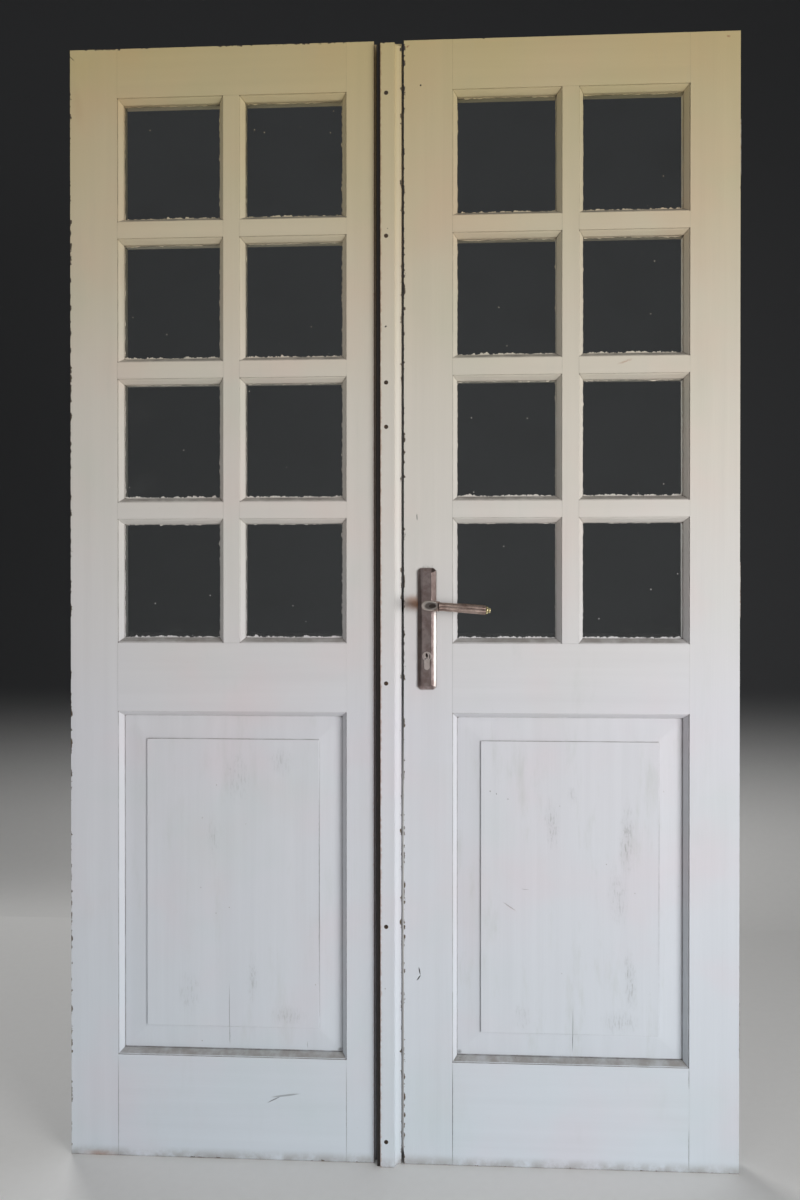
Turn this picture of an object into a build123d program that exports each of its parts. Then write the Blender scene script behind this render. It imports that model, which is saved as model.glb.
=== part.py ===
from build123d import *
from math import cos, pi, sin
import os

# A pair of glazed timber doors that meet in the middle, hung on butt hinges.
# Sizes are in millimetres. X runs along the pair, Y from the front to the back, Z up.
# A place in a leaf is given by its distance in from that leaf's hinge edge.
LEFT = -1
RIGHT = 1

# Leaf
leaf_height = 2040.0
leaf_thickness = 44.0
stile_flat = 88.0
pane_width = 197.0
pane_height = 228.0
pane_rows = 4
pane_columns = 2
bar_flat = 30.0
top_rail_flat = 90.0
lock_rail_flat = 126.0
bottom_rail_flat = 187.0
meeting_gap = 4.5

# Moulding worked on the edges of stiles, rails and bars
quirk_depth = 2.0
quirk_width = 1.6
moulding_width = 8.4
moulding_depth = 11.0

# Joinery
rail_tenon_length = 60.0
rail_tenon_thickness = 14.0
rail_tenon_shoulder = 12.0
rail_tenon_haunch = 30.0
bar_tenon_length = 10.0
cross_tenon_length = 6.0
bar_tenon_thickness = 10.0
bar_tenon_height = 14.0
bar_tenon_centre = 6.0
tenon_play = 0.1

# Glass and its beads
glass_thickness = 4.0
glass_setback = 16.0
rebate_width = 12.0
glass_edge_gap = 2.0
bead_play = 0.1

# Raised and fielded panel
panel_field_inset = 52.0
panel_half_thickness = 13.0
panel_field_step = 2.5
panel_tongue_half = 7.0
panel_tongue_length = 10.0
groove_depth = 12.0
groove_play = 0.2

# Cover strip on the meeting stile of the left leaf
strip_stile_extra = 12.0
strip_rebate_width = 50.0
strip_rebate_depth = 10.0
strip_width = 43.5
strip_projection = 12.0
strip_shoulder_width = 6.0
strip_shoulder_depth = 3.0
strip_round = 12.0
strip_top_gap = 10.0
strip_screw_inset = 27.0
strip_screw_shares = (0.951, 0.825, 0.6956, 0.6564, 0.4294, 0.2137, 0.0225)
strip_screw_length = 38.0

# Butt hinges
hinge_top_drop = 200.0
hinge_bottom_rise = 250.0
hinges_per_leaf = 3
hinge_height = 100.0
flap_width = 30.0
flap_thickness = 2.5
flap_spacing = 3.0
knuckle_radius = 5.5
knuckle_setback = 6.0
knuckles = 5
knuckle_gap = 0.3
pin_radius = 2.5
pin_play = 0.05
pin_head_radius = 4.5
pin_head_height = 3.0
flap_hole_row = 32.0
flap_hole_first = 8.0
flap_hole_pitch = 14.0
flap_screw_length = 22.0
mortise_play = 0.1

# Countersunk screws
screw_radius = 2.0
screw_head_radius = 3.8
screw_head_height = 1.8
screw_play = 0.1

# Mortise lock in the right leaf
backset = 42.0
spindle_rise = 69.0
cylinder_drop = 92.0
case_drop = 133.0
case_height = 172.0
case_depth = 65.0
case_thickness = 16.0
case_wall = 1.5
case_play = 0.2
faceplate_height = 235.0
faceplate_width = 20.0
faceplate_thickness = 3.0
faceplate_screw_inset = 9.5
bolt_play = 0.4
latch_width = 12.0
latch_height = 22.0
latch_length = 29.0
latch_throw = 12.0
dead_bolt_width = 12.0
dead_bolt_height = 30.0
dead_bolt_length = 34.0
dead_bolt_throw = 20.0
dead_bolt_drop = 49.0
talon_drop = 10.0
talon_width = 6.0
talon_thickness = 4.0
follower_radius = 11.0
follower_nose_reach = 15.0
follower_nose_width = 6.0
hub_radius = 9.0
spindle_size = 8.0
spindle_play = 0.1
spindle_reach = 50.0
hub_play = 0.3

# Lock cylinder: a round barrel over a narrow web
barrel_radius = 8.5
web_width = 10.0
profile_height = 33.0
cylinder_reach = 32.0
plug_radius = 6.5
plug_play = 0.1
plug_reach = 0.5
cam_radius = 15.0
cam_thickness = 9.0
cam_width = 7.0
cam_play = 0.5
key_slot_height = 8.0
key_slot_width = 1.6
key_slot_depth = 6.0
profile_play = 0.4
plate_profile_play = 0.1

# Handle plates and levers
plate_width = 33.0
plate_height = 220.0
plate_rise = 67.5
plate_edge = 2.5
plate_thickness = 8.0
plate_corner = 5.0
plate_bevel = 8.5
plate_end_bevel = 6.0
plate_flat_corner = 2.5
plate_bolt_rise = 55.0
plate_bolt_drop = 141.0
plate_bolt_radius = 2.5
plate_bolt_cover = 3.0
bolt_hole_play = 1.0
neck_radius = 7.7
neck_depth = 5.0
lever_projection = 40.0
elbow_radius = 9.0
elbow_length = 19.0
elbow_thickness = 15.0
elbow_round = 2.5
dish_rim = 3.0
dish_depth = 2.0
grip_start = 23.0
grip_end = 104.5
grip_radius = 7.6
grip_end_radius = 8.3
grip_reeds = 14
reed_depth = 0.8
collar_radius = 9.0
end_cap_radius = 7.0
end_cap_length = 4.5
end_cap_tip_radius = 4.5
end_cap_tip_length = 4.5
end_cap_round = 1.8
lever_droop = 4.4

# Strike plate in the left leaf
strike_height = 170.0
strike_thickness = 2.5
strike_pocket_spare = 10.5
strike_hole_play = 2.0
strike_screw_inset = 8.0

# Flush bolts in the left leaf
flush_height = 160.0
flush_width = 18.0
flush_thickness = 2.5
flush_rod_radius = 4.5
flush_rod_depth = 13.0
flush_rod_length = 120.0
flush_throw = 18.0
flush_slot_width = 8.0
flush_thumb_height = 16.0
flush_thumb_play = 0.5
flush_thumb_sink = 0.5
flush_guide_thickness = 3.0
flush_guide_depth = 20.0
flush_rod_play = 0.3
flush_pocket_play = 1.0
flush_screw_inset = 10.0
flush_screw_length = 20.0

# Worked out from the sizes above
leaf_width = 2 * stile_flat + pane_columns * pane_width + (pane_columns - 1) * bar_flat
left_width = leaf_width + strip_stile_extra
half_pair = (left_width + leaf_width + meeting_gap) / 2
front = -leaf_thickness / 2
back = leaf_thickness / 2
inner_width = leaf_width - 2 * stile_flat
pane_pitch = pane_height + bar_flat
glazing_top = leaf_height - top_rail_flat
glazing_bottom = glazing_top - pane_rows * pane_height - (pane_rows - 1) * bar_flat
panel_top = glazing_bottom - lock_rail_flat
panel_bottom = bottom_rail_flat
panel_opening_height = panel_top - panel_bottom
glass_front = front + glass_setback
glass_back = glass_front + glass_thickness
strip_front = front - strip_projection
strip_floor = front + strip_rebate_depth
pin_y = back + knuckle_setback
spindle_u = leaf_width - backset
spindle_height = glazing_bottom + spindle_rise
case_bottom = spindle_height - case_drop
cylinder_height = spindle_height - cylinder_drop
dead_bolt_z = spindle_height - dead_bolt_drop
faceplate_z = case_bottom + case_height / 2
plate_top = spindle_height + plate_rise
lock_tenon_top = case_bottom - rail_tenon_shoulder
strike_pocket_depth = dead_bolt_throw - meeting_gap + strike_pocket_spare
plate_face = front - plate_thickness
lever_y = plate_face - lever_projection + elbow_thickness / 2
spare = 1.0


def across(side, u):
    """X of a point that lies u in from a leaf's hinge edge."""
    return side * (half_pair - u)


def width_of(side):
    """Width of a leaf, without its hinge knuckles."""
    return left_width if side == LEFT else leaf_width


def block(x0, x1, y0, y1, z0, z1):
    """A plain block between two opposite corners."""
    middle = Pos((x0 + x1) / 2, (y0 + y1) / 2, (z0 + z1) / 2)
    return middle * Box(abs(x1 - x0), abs(y1 - y0), abs(z1 - z0))


def leaf_block(side, u0, u1, y0, y1, z0, z1):
    """A plain block placed by distances in from the hinge edge."""
    return block(across(side, u0), across(side, u1), y0, y1, z0, z1)


def rectangle_face(x, z, width, height, y):
    """An upright rectangular face, centred on x and z, facing the front."""
    half_w = width / 2
    half_h = height / 2
    left, right, low, high = x - half_w, x + half_w, z - half_h, z + half_h
    return outline_face([(left, low), (right, low), (right, high), (left, high)], y)


def outline_face(points, y):
    """An upright face with straight edges, from points in X and Z."""
    return make_face(Polyline(*[(x, y, z) for x, z in points], close=True))


def prism(points, y0, y1):
    """A straight prism along Y, from points in X and Z."""
    return extrude(outline_face(points, y0), amount=y1 - y0, dir=(0, 1, 0))


def frustum(x, z, width, height, y0, inset, y1):
    """A block that narrows by inset on every side between two upright planes."""
    wide = rectangle_face(x, z, width, height, y0)
    narrow = rectangle_face(x, z, width - 2 * inset, height - 2 * inset, y1)
    return loft([wide, narrow], ruled=True)


def rod(x, y, z, radius, length, axis):
    """A round bar that starts at a point and runs along an axis."""
    return extrude(Plane(origin=(x, y, z), z_dir=axis) * Circle(radius), amount=length)


def screw(x, y, z, axis, length, play=0.0, grow=0.0):
    """A countersunk screw, head first, running along an axis, or the hole for it."""
    start = Plane(origin=(x, y, z), z_dir=axis)
    head = start * Circle(screw_head_radius + grow + play)
    neck = start.offset(screw_head_height) * Circle(screw_radius + grow + play)
    shank = extrude(neck, amount=length - screw_head_height + play)
    return loft([head, neck]) + shank


def pane_centres(side):
    """Centre of each pane opening, row by row from the top."""
    centres = []
    for row in range(pane_rows):
        for column in range(pane_columns):
            u = stile_flat + pane_width / 2 + column * (pane_width + bar_flat)
            z = glazing_top - pane_height / 2 - row * pane_pitch
            centres.append((across(side, u), z))
    return centres


def moulding_cut(x, z, width, height, face, inward):
    """What the moulding leaves open round an opening, from one face of the leaf."""
    half_w = width / 2
    half_h = height / 2
    fillet_y = face + inward * quirk_depth
    foot_y = face + inward * moulding_depth
    run = moulding_width - quirk_width
    step = block(x - half_w, x + half_w, face - inward * spare, fillet_y, z - half_h, z + half_h)
    slope = frustum(x, z, width - 2 * quirk_width, height - 2 * quirk_width, fillet_y, run, foot_y)
    return [step, slope]


def sight_cut(x, z, width, height, grow, y0, y1):
    """A straight cut the size of the sight line, or larger by grow all round."""
    half_w = width / 2 - moulding_width + grow
    half_h = height / 2 - moulding_width + grow
    return block(x - half_w, x + half_w, y0, y1, z - half_h, z + half_h)


def panel_centre(side):
    """Centre of the panel opening."""
    return across(side, leaf_width / 2), (panel_top + panel_bottom) / 2


def leaf_lattice(side):
    """The whole leaf as one block with its openings, mouldings, rebates and panel groove."""
    cuts = []
    for x, z in pane_centres(side):
        cuts += moulding_cut(x, z, pane_width, pane_height, front, 1)
        cuts.append(sight_cut(x, z, pane_width, pane_height, 0, front + moulding_depth, glass_front))
        cuts.append(sight_cut(x, z, pane_width, pane_height, rebate_width, glass_front, back + spare))
    x, z = panel_centre(side)
    cuts += moulding_cut(x, z, inner_width, panel_opening_height, front, 1)
    cuts += moulding_cut(x, z, inner_width, panel_opening_height, back, -1)
    cuts.append(
        sight_cut(x, z, inner_width, panel_opening_height, 0, front + moulding_depth, back - moulding_depth)
    )
    groove_half = panel_tongue_half + groove_play
    cuts.append(sight_cut(x, z, inner_width, panel_opening_height, groove_depth, -groove_half, groove_half))
    return leaf_block(side, 0, width_of(side), front, back, 0, leaf_height) - cuts


def mitred(low, high, flat, outward):
    """The edge of a member along one opening, with the ends of its moulding mitred."""
    tip = flat + outward * moulding_width
    return [(low, flat), (low + moulding_width, tip), (high - moulding_width, tip), (high, flat)]


def row_spans():
    """Height range of each pane row, from the bottom up."""
    spans = []
    for row in reversed(range(pane_rows)):
        high = glazing_top - row * pane_pitch
        spans.append((high - pane_height, high))
    return spans


def column_spans():
    """Distance range of each pane column, in from the hinge edge."""
    starts = [stile_flat + column * (pane_width + bar_flat) for column in range(pane_columns)]
    return [(start, start + pane_width) for start in starts]


def member(side, lattice, points):
    """One piece of the leaf: the part of the lattice inside an outline."""
    zone = prism([(across(side, u), z) for u, z in points], front - spare, back + spare)
    return lattice & zone


def stile_edge(flat, outward):
    """The moulded inner edge of a stile, from the bottom up."""
    edge = []
    for low, high in [(panel_bottom, panel_top)] + row_spans():
        edge += [(u, z) for z, u in mitred(low, high, flat, outward)]
    return edge


def rail_tenons(stile_name):
    """Height range of the tenon of each rail in a stile. The lock leaves room for a low one only."""
    lock_top = glazing_bottom - rail_tenon_shoulder
    if stile_name == "meeting":
        lock_top = lock_tenon_top
    return {
        "bottom": (rail_tenon_haunch, panel_bottom - rail_tenon_shoulder),
        "lock": (panel_top + rail_tenon_shoulder, lock_top),
        "top": (glazing_top + rail_tenon_shoulder, leaf_height - rail_tenon_haunch),
    }


def rail_tenon(side, stile_name, rail_name, play):
    """The tenon of a rail in one stile, or the mortise for it."""
    low, high = rail_tenons(stile_name)[rail_name]
    half = rail_tenon_thickness / 2 + play
    if stile_name == "hinge":
        u0, u1 = stile_flat, stile_flat - rail_tenon_length - play
    else:
        u0, u1 = leaf_width - stile_flat, leaf_width - stile_flat + rail_tenon_length + play
    return leaf_block(side, u0, u1, -half, half, low - play, high + play)


def cross_heights():
    """Centre height of each row of cross bars."""
    return [low - bar_flat / 2 for low, high in row_spans()[1:]]


def cross_tenon(side, u, length, z, play):
    """The stub tenon at one end of a cross bar, or the mortise for it."""
    half = bar_tenon_thickness / 2 + play
    tall = bar_tenon_height / 2 + play
    y = bar_tenon_centre
    end = u + length + (play if length > 0 else -play)
    return leaf_block(side, u, end, y - half, y + half, z - tall, z + tall)


def upright_tenon(side, z, length, play):
    """The stub tenon at one end of the upright bar, or the mortise for it."""
    half = bar_tenon_thickness / 2 + play
    wide = bar_tenon_height / 2 + play
    y = bar_tenon_centre
    u = leaf_width / 2
    end = z + length + (play if length > 0 else -play)
    return leaf_block(side, u - wide, u + wide, y - half, y + half, z, end)


def hinge_stile(side, lattice):
    """The stile that carries the hinges."""
    points = [(-spare, -spare), (stile_flat, -spare)]
    points += stile_edge(stile_flat, 1)
    points += [(stile_flat, leaf_height + spare), (-spare, leaf_height + spare)]
    cuts = [rail_tenon(side, "hinge", name, tenon_play) for name in rail_tenons("hinge")]
    cuts += [cross_tenon(side, stile_flat, -bar_tenon_length, z, tenon_play) for z in cross_heights()]
    for z in hinge_heights():
        cuts.append(flap_mortise(side, z))
        cuts += flap_screws(side, 0, z, screw_play)
    return member(side, lattice, points) - cuts


def meeting_stile(side, lattice):
    """The stile at the middle of the pair, without what is cut in it for the fittings."""
    flat = leaf_width - stile_flat
    edge = width_of(side) + spare
    points = [(edge, -spare), (flat, -spare)]
    points += stile_edge(flat, -1)
    points += [(flat, leaf_height + spare), (edge, leaf_height + spare)]
    cuts = [rail_tenon(side, "meeting", name, tenon_play) for name in rail_tenons("meeting")]
    cuts += [cross_tenon(side, flat, bar_tenon_length, z, tenon_play) for z in cross_heights()]
    return member(side, lattice, points) - cuts


def with_rail_tenons(side, name, rail):
    """A rail with a tenon at each end."""
    return rail + [rail_tenon(side, stile_name, name, 0) for stile_name in ("hinge", "meeting")]


def top_rail(side, lattice):
    """The rail over the panes."""
    points = [(stile_flat, leaf_height + spare)]
    for low, high in column_spans():
        points += mitred(low, high, glazing_top, -1)
    points.append((leaf_width - stile_flat, leaf_height + spare))
    mortise = upright_tenon(side, glazing_top, bar_tenon_length, tenon_play)
    return with_rail_tenons(side, "top", member(side, lattice, points) - mortise)


def lock_rail(side, lattice):
    """The rail between the panes and the panel."""
    points = mitred(stile_flat, leaf_width - stile_flat, panel_top, -1)
    for low, high in reversed(column_spans()):
        points += reversed(mitred(low, high, glazing_bottom, 1))
    mortise = upright_tenon(side, glazing_bottom, -bar_tenon_length, tenon_play)
    return with_rail_tenons(side, "lock", member(side, lattice, points) - mortise)


def bottom_rail(side, lattice):
    """The rail under the panel."""
    points = [(stile_flat, -spare)]
    points += mitred(stile_flat, leaf_width - stile_flat, panel_bottom, 1)
    points.append((leaf_width - stile_flat, -spare))
    return with_rail_tenons(side, "bottom", member(side, lattice, points))


def upright_bar(side, lattice):
    """The bar between the two columns of panes, in one length."""
    first = stile_flat + pane_width
    second = first + bar_flat
    points = []
    for low, high in row_spans():
        points += [(u, z) for z, u in mitred(low, high, second, 1)]
    for low, high in reversed(row_spans()):
        points += reversed([(u, z) for z, u in mitred(low, high, first, -1)])
    cuts = []
    for z in cross_heights():
        cuts.append(cross_tenon(side, first, cross_tenon_length, z, tenon_play))
        cuts.append(cross_tenon(side, second, -cross_tenon_length, z, tenon_play))
    ends = [
        upright_tenon(side, glazing_top, bar_tenon_length, 0),
        upright_tenon(side, glazing_bottom, -bar_tenon_length, 0),
    ]
    return member(side, lattice, points) - cuts + ends


def cross_bars(side, lattice):
    """The short bars between the panes of each column, tenoned at both ends."""
    bars = []
    lengths = [(bar_tenon_length, cross_tenon_length), (cross_tenon_length, bar_tenon_length)]
    for z in cross_heights():
        for (low, high), (first, last) in zip(column_spans(), lengths):
            points = mitred(low, high, z - bar_flat / 2, -1)
            points += reversed(mitred(low, high, z + bar_flat / 2, 1))
            ends = [cross_tenon(side, low, -first, z, 0), cross_tenon(side, high, last, z, 0)]
            bars.append(member(side, lattice, points) + ends)
    return bars


def panel(side):
    """The raised and fielded panel: a flat field, a bevel on both faces and a tongue all round."""
    x, z = panel_centre(side)
    width = inner_width - 2 * moulding_width
    height = panel_opening_height - 2 * moulding_width
    bevel = panel_field_inset - moulding_width
    tongue_width = width + 2 * panel_tongue_length
    tongue_height = height + 2 * panel_tongue_length
    tongue = rectangle_face(x, z, tongue_width, tongue_height, -panel_tongue_half)
    shape = extrude(tongue, amount=2 * panel_tongue_half, dir=(0, 1, 0))
    for face in (-1, 1):
        foot = face * (panel_half_thickness - panel_field_step)
        shape += frustum(x, z, width, height, face * panel_tongue_half, bevel, foot)
        field = rectangle_face(x, z, width - 2 * bevel, height - 2 * bevel, foot)
        shape += extrude(field, amount=panel_field_step, dir=(0, face, 0))
    return shape


def glass_panes(side):
    """Each pane of glass, set in its rebate."""
    grow = rebate_width - glass_edge_gap
    centres = pane_centres(side)
    return [sight_cut(x, z, pane_width, pane_height, grow, glass_front, glass_back) for x, z in centres]


def bead_set():
    """Four mitred beads that hold one pane, about the origin."""
    ring = sight_cut(0, 0, pane_width, pane_height, rebate_width - bead_play, glass_back, back)
    ring -= moulding_cut(0, 0, pane_width, pane_height, back, -1)
    ring -= sight_cut(0, 0, pane_width, pane_height, 0, glass_back - spare, back - moulding_depth)
    half_w = pane_width / 2 - moulding_width + rebate_width
    half_h = pane_height / 2 - moulding_width + rebate_width
    in_w = half_w - 2 * rebate_width
    in_h = half_h - 2 * rebate_width
    beads = []
    for end in (-1, 1):
        level = [(-half_w, end * half_h), (half_w, end * half_h), (in_w, end * in_h), (-in_w, end * in_h)]
        upright = [(end * half_w, -half_h), (end * half_w, half_h), (end * in_w, in_h), (end * in_w, -in_h)]
        for wedge in (level, upright):
            beads.append(ring & prism(wedge, glass_back - spare, back + spare))
    return beads


def glazing_beads(side):
    """The beads behind every pane of a leaf."""
    beads = bead_set()
    return [Pos(x, 0, z) * bead for x, z in pane_centres(side) for bead in beads]


def hinge_heights():
    """Centre height of each hinge, from the bottom up."""
    top = leaf_height - hinge_top_drop
    step = (top - hinge_bottom_rise) / (hinges_per_leaf - 1)
    return [hinge_bottom_rise + index * step for index in range(hinges_per_leaf)]


def flap_mortise(side, z):
    """The shallow mortise for a leaf flap in the edge of the leaf."""
    half = hinge_height / 2 + mortise_play
    start = back - flap_width - mortise_play
    return leaf_block(side, -spare, flap_thickness, start, back + spare, z - half, z + half)


def flap_holes(z):
    """Place of each screw in a flap, as Y and Z."""
    first = back - flap_width + flap_hole_first
    rises = (-flap_hole_row, flap_hole_row)
    return [(y, z + rise) for y in (first, first + flap_hole_pitch) for rise in rises]


def flap_screws(side, u, z, play, inward=1):
    """The screws of one flap, from its face at u into the wood behind it, or the holes for them."""
    axis = (-side * inward, 0, 0)
    return [screw(across(side, u), y, height, axis, flap_screw_length, play) for y, height in flap_holes(z)]


def knuckle_spans(z, parity):
    """Height range of every second knuckle of one hinge."""
    pitch = hinge_height / knuckles
    starts = [z - hinge_height / 2 + index * pitch for index in range(parity, knuckles, 2)]
    return [(start + knuckle_gap / 2, start + pitch - knuckle_gap / 2) for start in starts]


def barrel_cut(side, z):
    """The bore for the pin through all the knuckles of one hinge."""
    x = across(side, -flap_spacing / 2)
    start = z - hinge_height / 2 - spare
    return rod(x, pin_y, start, pin_radius + pin_play, hinge_height + 2 * spare, (0, 0, 1))


def flap(side, z, u0, u1, parity):
    """One flap of a hinge: its plate and the knuckles rolled from it."""
    x = across(side, -flap_spacing / 2)
    half = hinge_height / 2
    shape = leaf_block(side, u0, u1, back - flap_width, back, z - half, z + half)
    for low, high in knuckle_spans(z, parity):
        shape += leaf_block(side, u0, u1, back, pin_y, low, high)
        shape += rod(x, pin_y, low, knuckle_radius, high - low, (0, 0, 1))
    return shape - barrel_cut(side, z)


def leaf_hinges(side):
    """The flaps let into the edge of a leaf."""
    flaps = []
    for z in hinge_heights():
        flaps.append(flap(side, z, 0, flap_thickness, 1) - flap_screws(side, 0, z, screw_play))
    return flaps


def frame_hinges(side):
    """The flaps that are screwed to the frame the pair hangs in."""
    near = -flap_spacing
    flaps = []
    for z in hinge_heights():
        holes = flap_screws(side, near, z, screw_play, inward=-1)
        flaps.append(flap(side, z, near - flap_thickness, near, 0) - holes)
    return flaps


def hinge_pins(side):
    """The pins, each dropped in from the top and held by its head."""
    x = across(side, -flap_spacing / 2)
    pins = []
    for z in hinge_heights():
        top = z + hinge_height / 2 - knuckle_gap / 2
        shank = rod(x, pin_y, z - hinge_height / 2, pin_radius, top - z + hinge_height / 2, (0, 0, 1))
        pins.append(shank + rod(x, pin_y, top, pin_head_radius, pin_head_height, (0, 0, 1)))
    return pins


def strip_outline(z):
    """Section of the cover strip: a set back shoulder, a flat face and a rounded edge."""
    shoulder_y = strip_front + strip_shoulder_depth
    start = left_width - strip_width
    flat_start = start + strip_shoulder_width
    corners = [
        (left_width, strip_floor),
        (start, strip_floor),
        (start, shoulder_y),
        (flat_start, shoulder_y),
        (flat_start, strip_front),
        (left_width - strip_round, strip_front),
    ]
    points = [(across(LEFT, u), y, z) for u, y in corners]
    end = (across(LEFT, left_width), strip_front + strip_round, z)
    return make_face(Polyline(*points) + RadiusArc(points[-1], end, strip_round) + Line(end, points[0]))


def strip_screws(play):
    """The screws sunk in the cover strip, or the holes for them."""
    x = across(LEFT, left_width - strip_screw_inset)
    heights = [leaf_height * share for share in strip_screw_shares]
    return [screw(x, strip_front, z, (0, 1, 0), strip_screw_length, play) for z in heights]


def cover_strip():
    """The strip that covers the joint between the leaves from the front."""
    strip = extrude(strip_outline(0), amount=leaf_height - strip_top_gap, dir=(0, 0, 1))
    return strip - strip_screws(screw_play)


def strip_rebate():
    """The step worked along the left meeting stile, in which the cover strip lies."""
    start = left_width - strip_rebate_width
    top = leaf_height + spare
    return leaf_block(LEFT, start, left_width + spare, front - spare, strip_floor, -spare, top)


def bolt_window(height, tall, wide, play, u0, u1):
    """A hole in the left meeting edge in line with one of the lock's bolts."""
    half_z = tall / 2 + play
    half_y = wide / 2 + play
    return leaf_block(LEFT, u0, u1, -half_y, half_y, height - half_z, height + half_z)


def strike_windows(u0, u1):
    """The two holes that the latch bolt and the dead bolt enter."""
    return [
        bolt_window(spindle_height, latch_height, latch_width, strike_hole_play, u0, u1),
        bolt_window(dead_bolt_z, dead_bolt_height, dead_bolt_width, strike_hole_play, u0, u1),
    ]


def strike_screws(play):
    """The screws of the strike plate, or the holes for them."""
    reach = strike_height / 2 - strike_screw_inset
    x = across(LEFT, left_width)
    heights = (faceplate_z - reach, faceplate_z + reach)
    return [screw(x, 0, z, (-1, 0, 0), flap_screw_length, play) for z in heights]


def strike_blank(play, outer):
    """The plate of the strike, or the recess for it."""
    half_y = faceplate_width / 2 + play
    half_z = strike_height / 2 + play
    inner = left_width - strike_thickness
    return leaf_block(LEFT, inner, outer, -half_y, half_y, faceplate_z - half_z, faceplate_z + half_z)


def strike_plate():
    """The strike plate in the edge of the left leaf."""
    windows = strike_windows(left_width - strike_thickness - spare, left_width + spare)
    return strike_blank(0, left_width) - windows - strike_screws(screw_play)


def along(end, distance):
    """Height of a point at a distance from the top (end 1) or the bottom (end -1) of the leaf."""
    return leaf_height - distance if end > 0 else distance


def flush_block(end, u0, u1, half_y, d0, d1):
    """A block of a flush bolt, between two distances from its end of the leaf."""
    return leaf_block(LEFT, u0, u1, -half_y, half_y, along(end, d0), along(end, d1))


def flush_rod(end, radius, start, length):
    """A round bar on the line of a flush bolt."""
    x = across(LEFT, left_width - flush_rod_depth)
    return rod(x, 0, along(end, start), radius, length, (0, 0, -end))


def flush_thumb_start():
    """Distance of the thumb piece from the end of the leaf, drawn back."""
    return flush_rod_length - flush_thumb_height


def flush_screws(end, play):
    """The screws of one flush bolt plate, or the holes for them."""
    x = across(LEFT, left_width)
    places = (flush_rod_length + flush_screw_inset, flush_height - flush_screw_inset)
    return [screw(x, 0, along(end, place), (-1, 0, 0), flush_screw_length, play) for place in places]


def flush_case(end):
    """The plate of a flush bolt, with its end plate and the lug that guides the rod."""
    inner = left_width - flush_thickness
    half = flush_width / 2
    thumb = flush_thumb_start()
    deep = left_width - flush_guide_depth
    lug = thumb - flush_throw - 4 * flush_guide_thickness
    case = flush_block(end, inner, left_width, half, 0, flush_height)
    case += flush_block(end, deep, left_width, half, 0, flush_guide_thickness)
    case += flush_block(end, deep, inner, half - flush_pocket_play, lug, lug + flush_guide_thickness)
    slot_start = thumb - flush_throw - flush_thumb_play
    slot_end = thumb + flush_thumb_height + flush_thumb_play
    slot = flush_block(end, inner - spare, left_width + spare, flush_slot_width / 2, slot_start, slot_end)
    bore = flush_rod(end, flush_rod_radius + flush_rod_play, -spare, lug + 2 * flush_guide_thickness)
    return case - slot - bore - flush_screws(end, screw_play)


def flush_bolt(end):
    """The rod of a flush bolt and the thumb piece that moves it, drawn back."""
    thumb = flush_thumb_start()
    half = flush_slot_width / 2 - flush_thumb_play
    centre = left_width - flush_rod_depth
    piece = flush_block(end, centre, left_width - flush_thumb_sink, half, thumb, thumb + flush_thumb_height)
    return flush_rod(end, flush_rod_radius, 0, flush_rod_length) + piece


def flush_pockets(end):
    """What is cut in the left meeting stile for one flush bolt."""
    inner = left_width - flush_thickness
    wide = flush_width / 2 + mortise_play
    deep = left_width - flush_guide_depth - mortise_play
    rod_space = flush_rod_length + flush_pocket_play
    return [
        flush_block(end, inner, left_width + spare, wide, -spare, flush_height + mortise_play),
        flush_block(end, deep, left_width, wide, -spare, flush_guide_thickness),
        flush_block(end, deep, left_width, flush_width / 2 - mortise_play, 0, rod_space),
    ]


def left_meeting_stile(lattice):
    """The meeting stile of the left leaf, with the step for the cover strip and its fittings let in."""
    windows = strike_windows(left_width - strike_pocket_depth, left_width)
    cuts = [strip_rebate(), strike_blank(mortise_play, left_width + spare)] + windows
    cuts += strike_screws(screw_play) + strip_screws(screw_play)
    for end in (1, -1):
        cuts += flush_pockets(end) + flush_screws(end, screw_play)
    return meeting_stile(LEFT, lattice) - cuts


def left_screws():
    """Every screw of the left leaf."""
    screws = strike_screws(0) + strip_screws(0) + flush_screws(1, 0) + flush_screws(-1, 0)
    for z in hinge_heights():
        screws += flap_screws(LEFT, 0, z, 0)
    return screws


def profile(height, grow, y0, y1):
    """The outline of the lock cylinder as a bar along Y: a round barrel over a narrow web."""
    x = across(RIGHT, spindle_u)
    foot = height + barrel_radius - profile_height + web_width / 2
    half = web_width / 2 + grow
    shape = rod(x, y0, height, barrel_radius + grow, y1 - y0, (0, 1, 0))
    shape += rod(x, y0, foot, half, y1 - y0, (0, 1, 0))
    return shape + block(x - half, x + half, y0, y1, foot, height)


def lock_space(play):
    """The space that the lock case takes in the stile."""
    end = leaf_width - faceplate_thickness
    half = case_thickness / 2 + play
    top = case_bottom + case_height
    return leaf_block(RIGHT, end - case_depth - play, end, -half, half, case_bottom - play, top + play)


def faceplate(play, outer):
    """The face plate of the lock, or the recess for it."""
    half_y = faceplate_width / 2 + play
    half_z = faceplate_height / 2 + play
    inner = leaf_width - faceplate_thickness
    return leaf_block(RIGHT, inner, outer, -half_y, half_y, faceplate_z - half_z, faceplate_z + half_z)


def faceplate_screws(play):
    """The screws of the face plate, or the holes for them."""
    reach = faceplate_height / 2 - faceplate_screw_inset
    x = across(RIGHT, leaf_width)
    heights = (faceplate_z - reach, faceplate_z + reach)
    return [screw(x, 0, z, (1, 0, 0), flap_screw_length, play) for z in heights]


def bolt_slot(height, tall, wide):
    """The slot in the face plate for one bolt."""
    half_y = wide / 2 + bolt_play
    half_z = tall / 2 + bolt_play
    u0 = leaf_width - faceplate_thickness - spare
    return leaf_block(RIGHT, u0, leaf_width + spare, -half_y, half_y, height - half_z, height + half_z)


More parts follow.
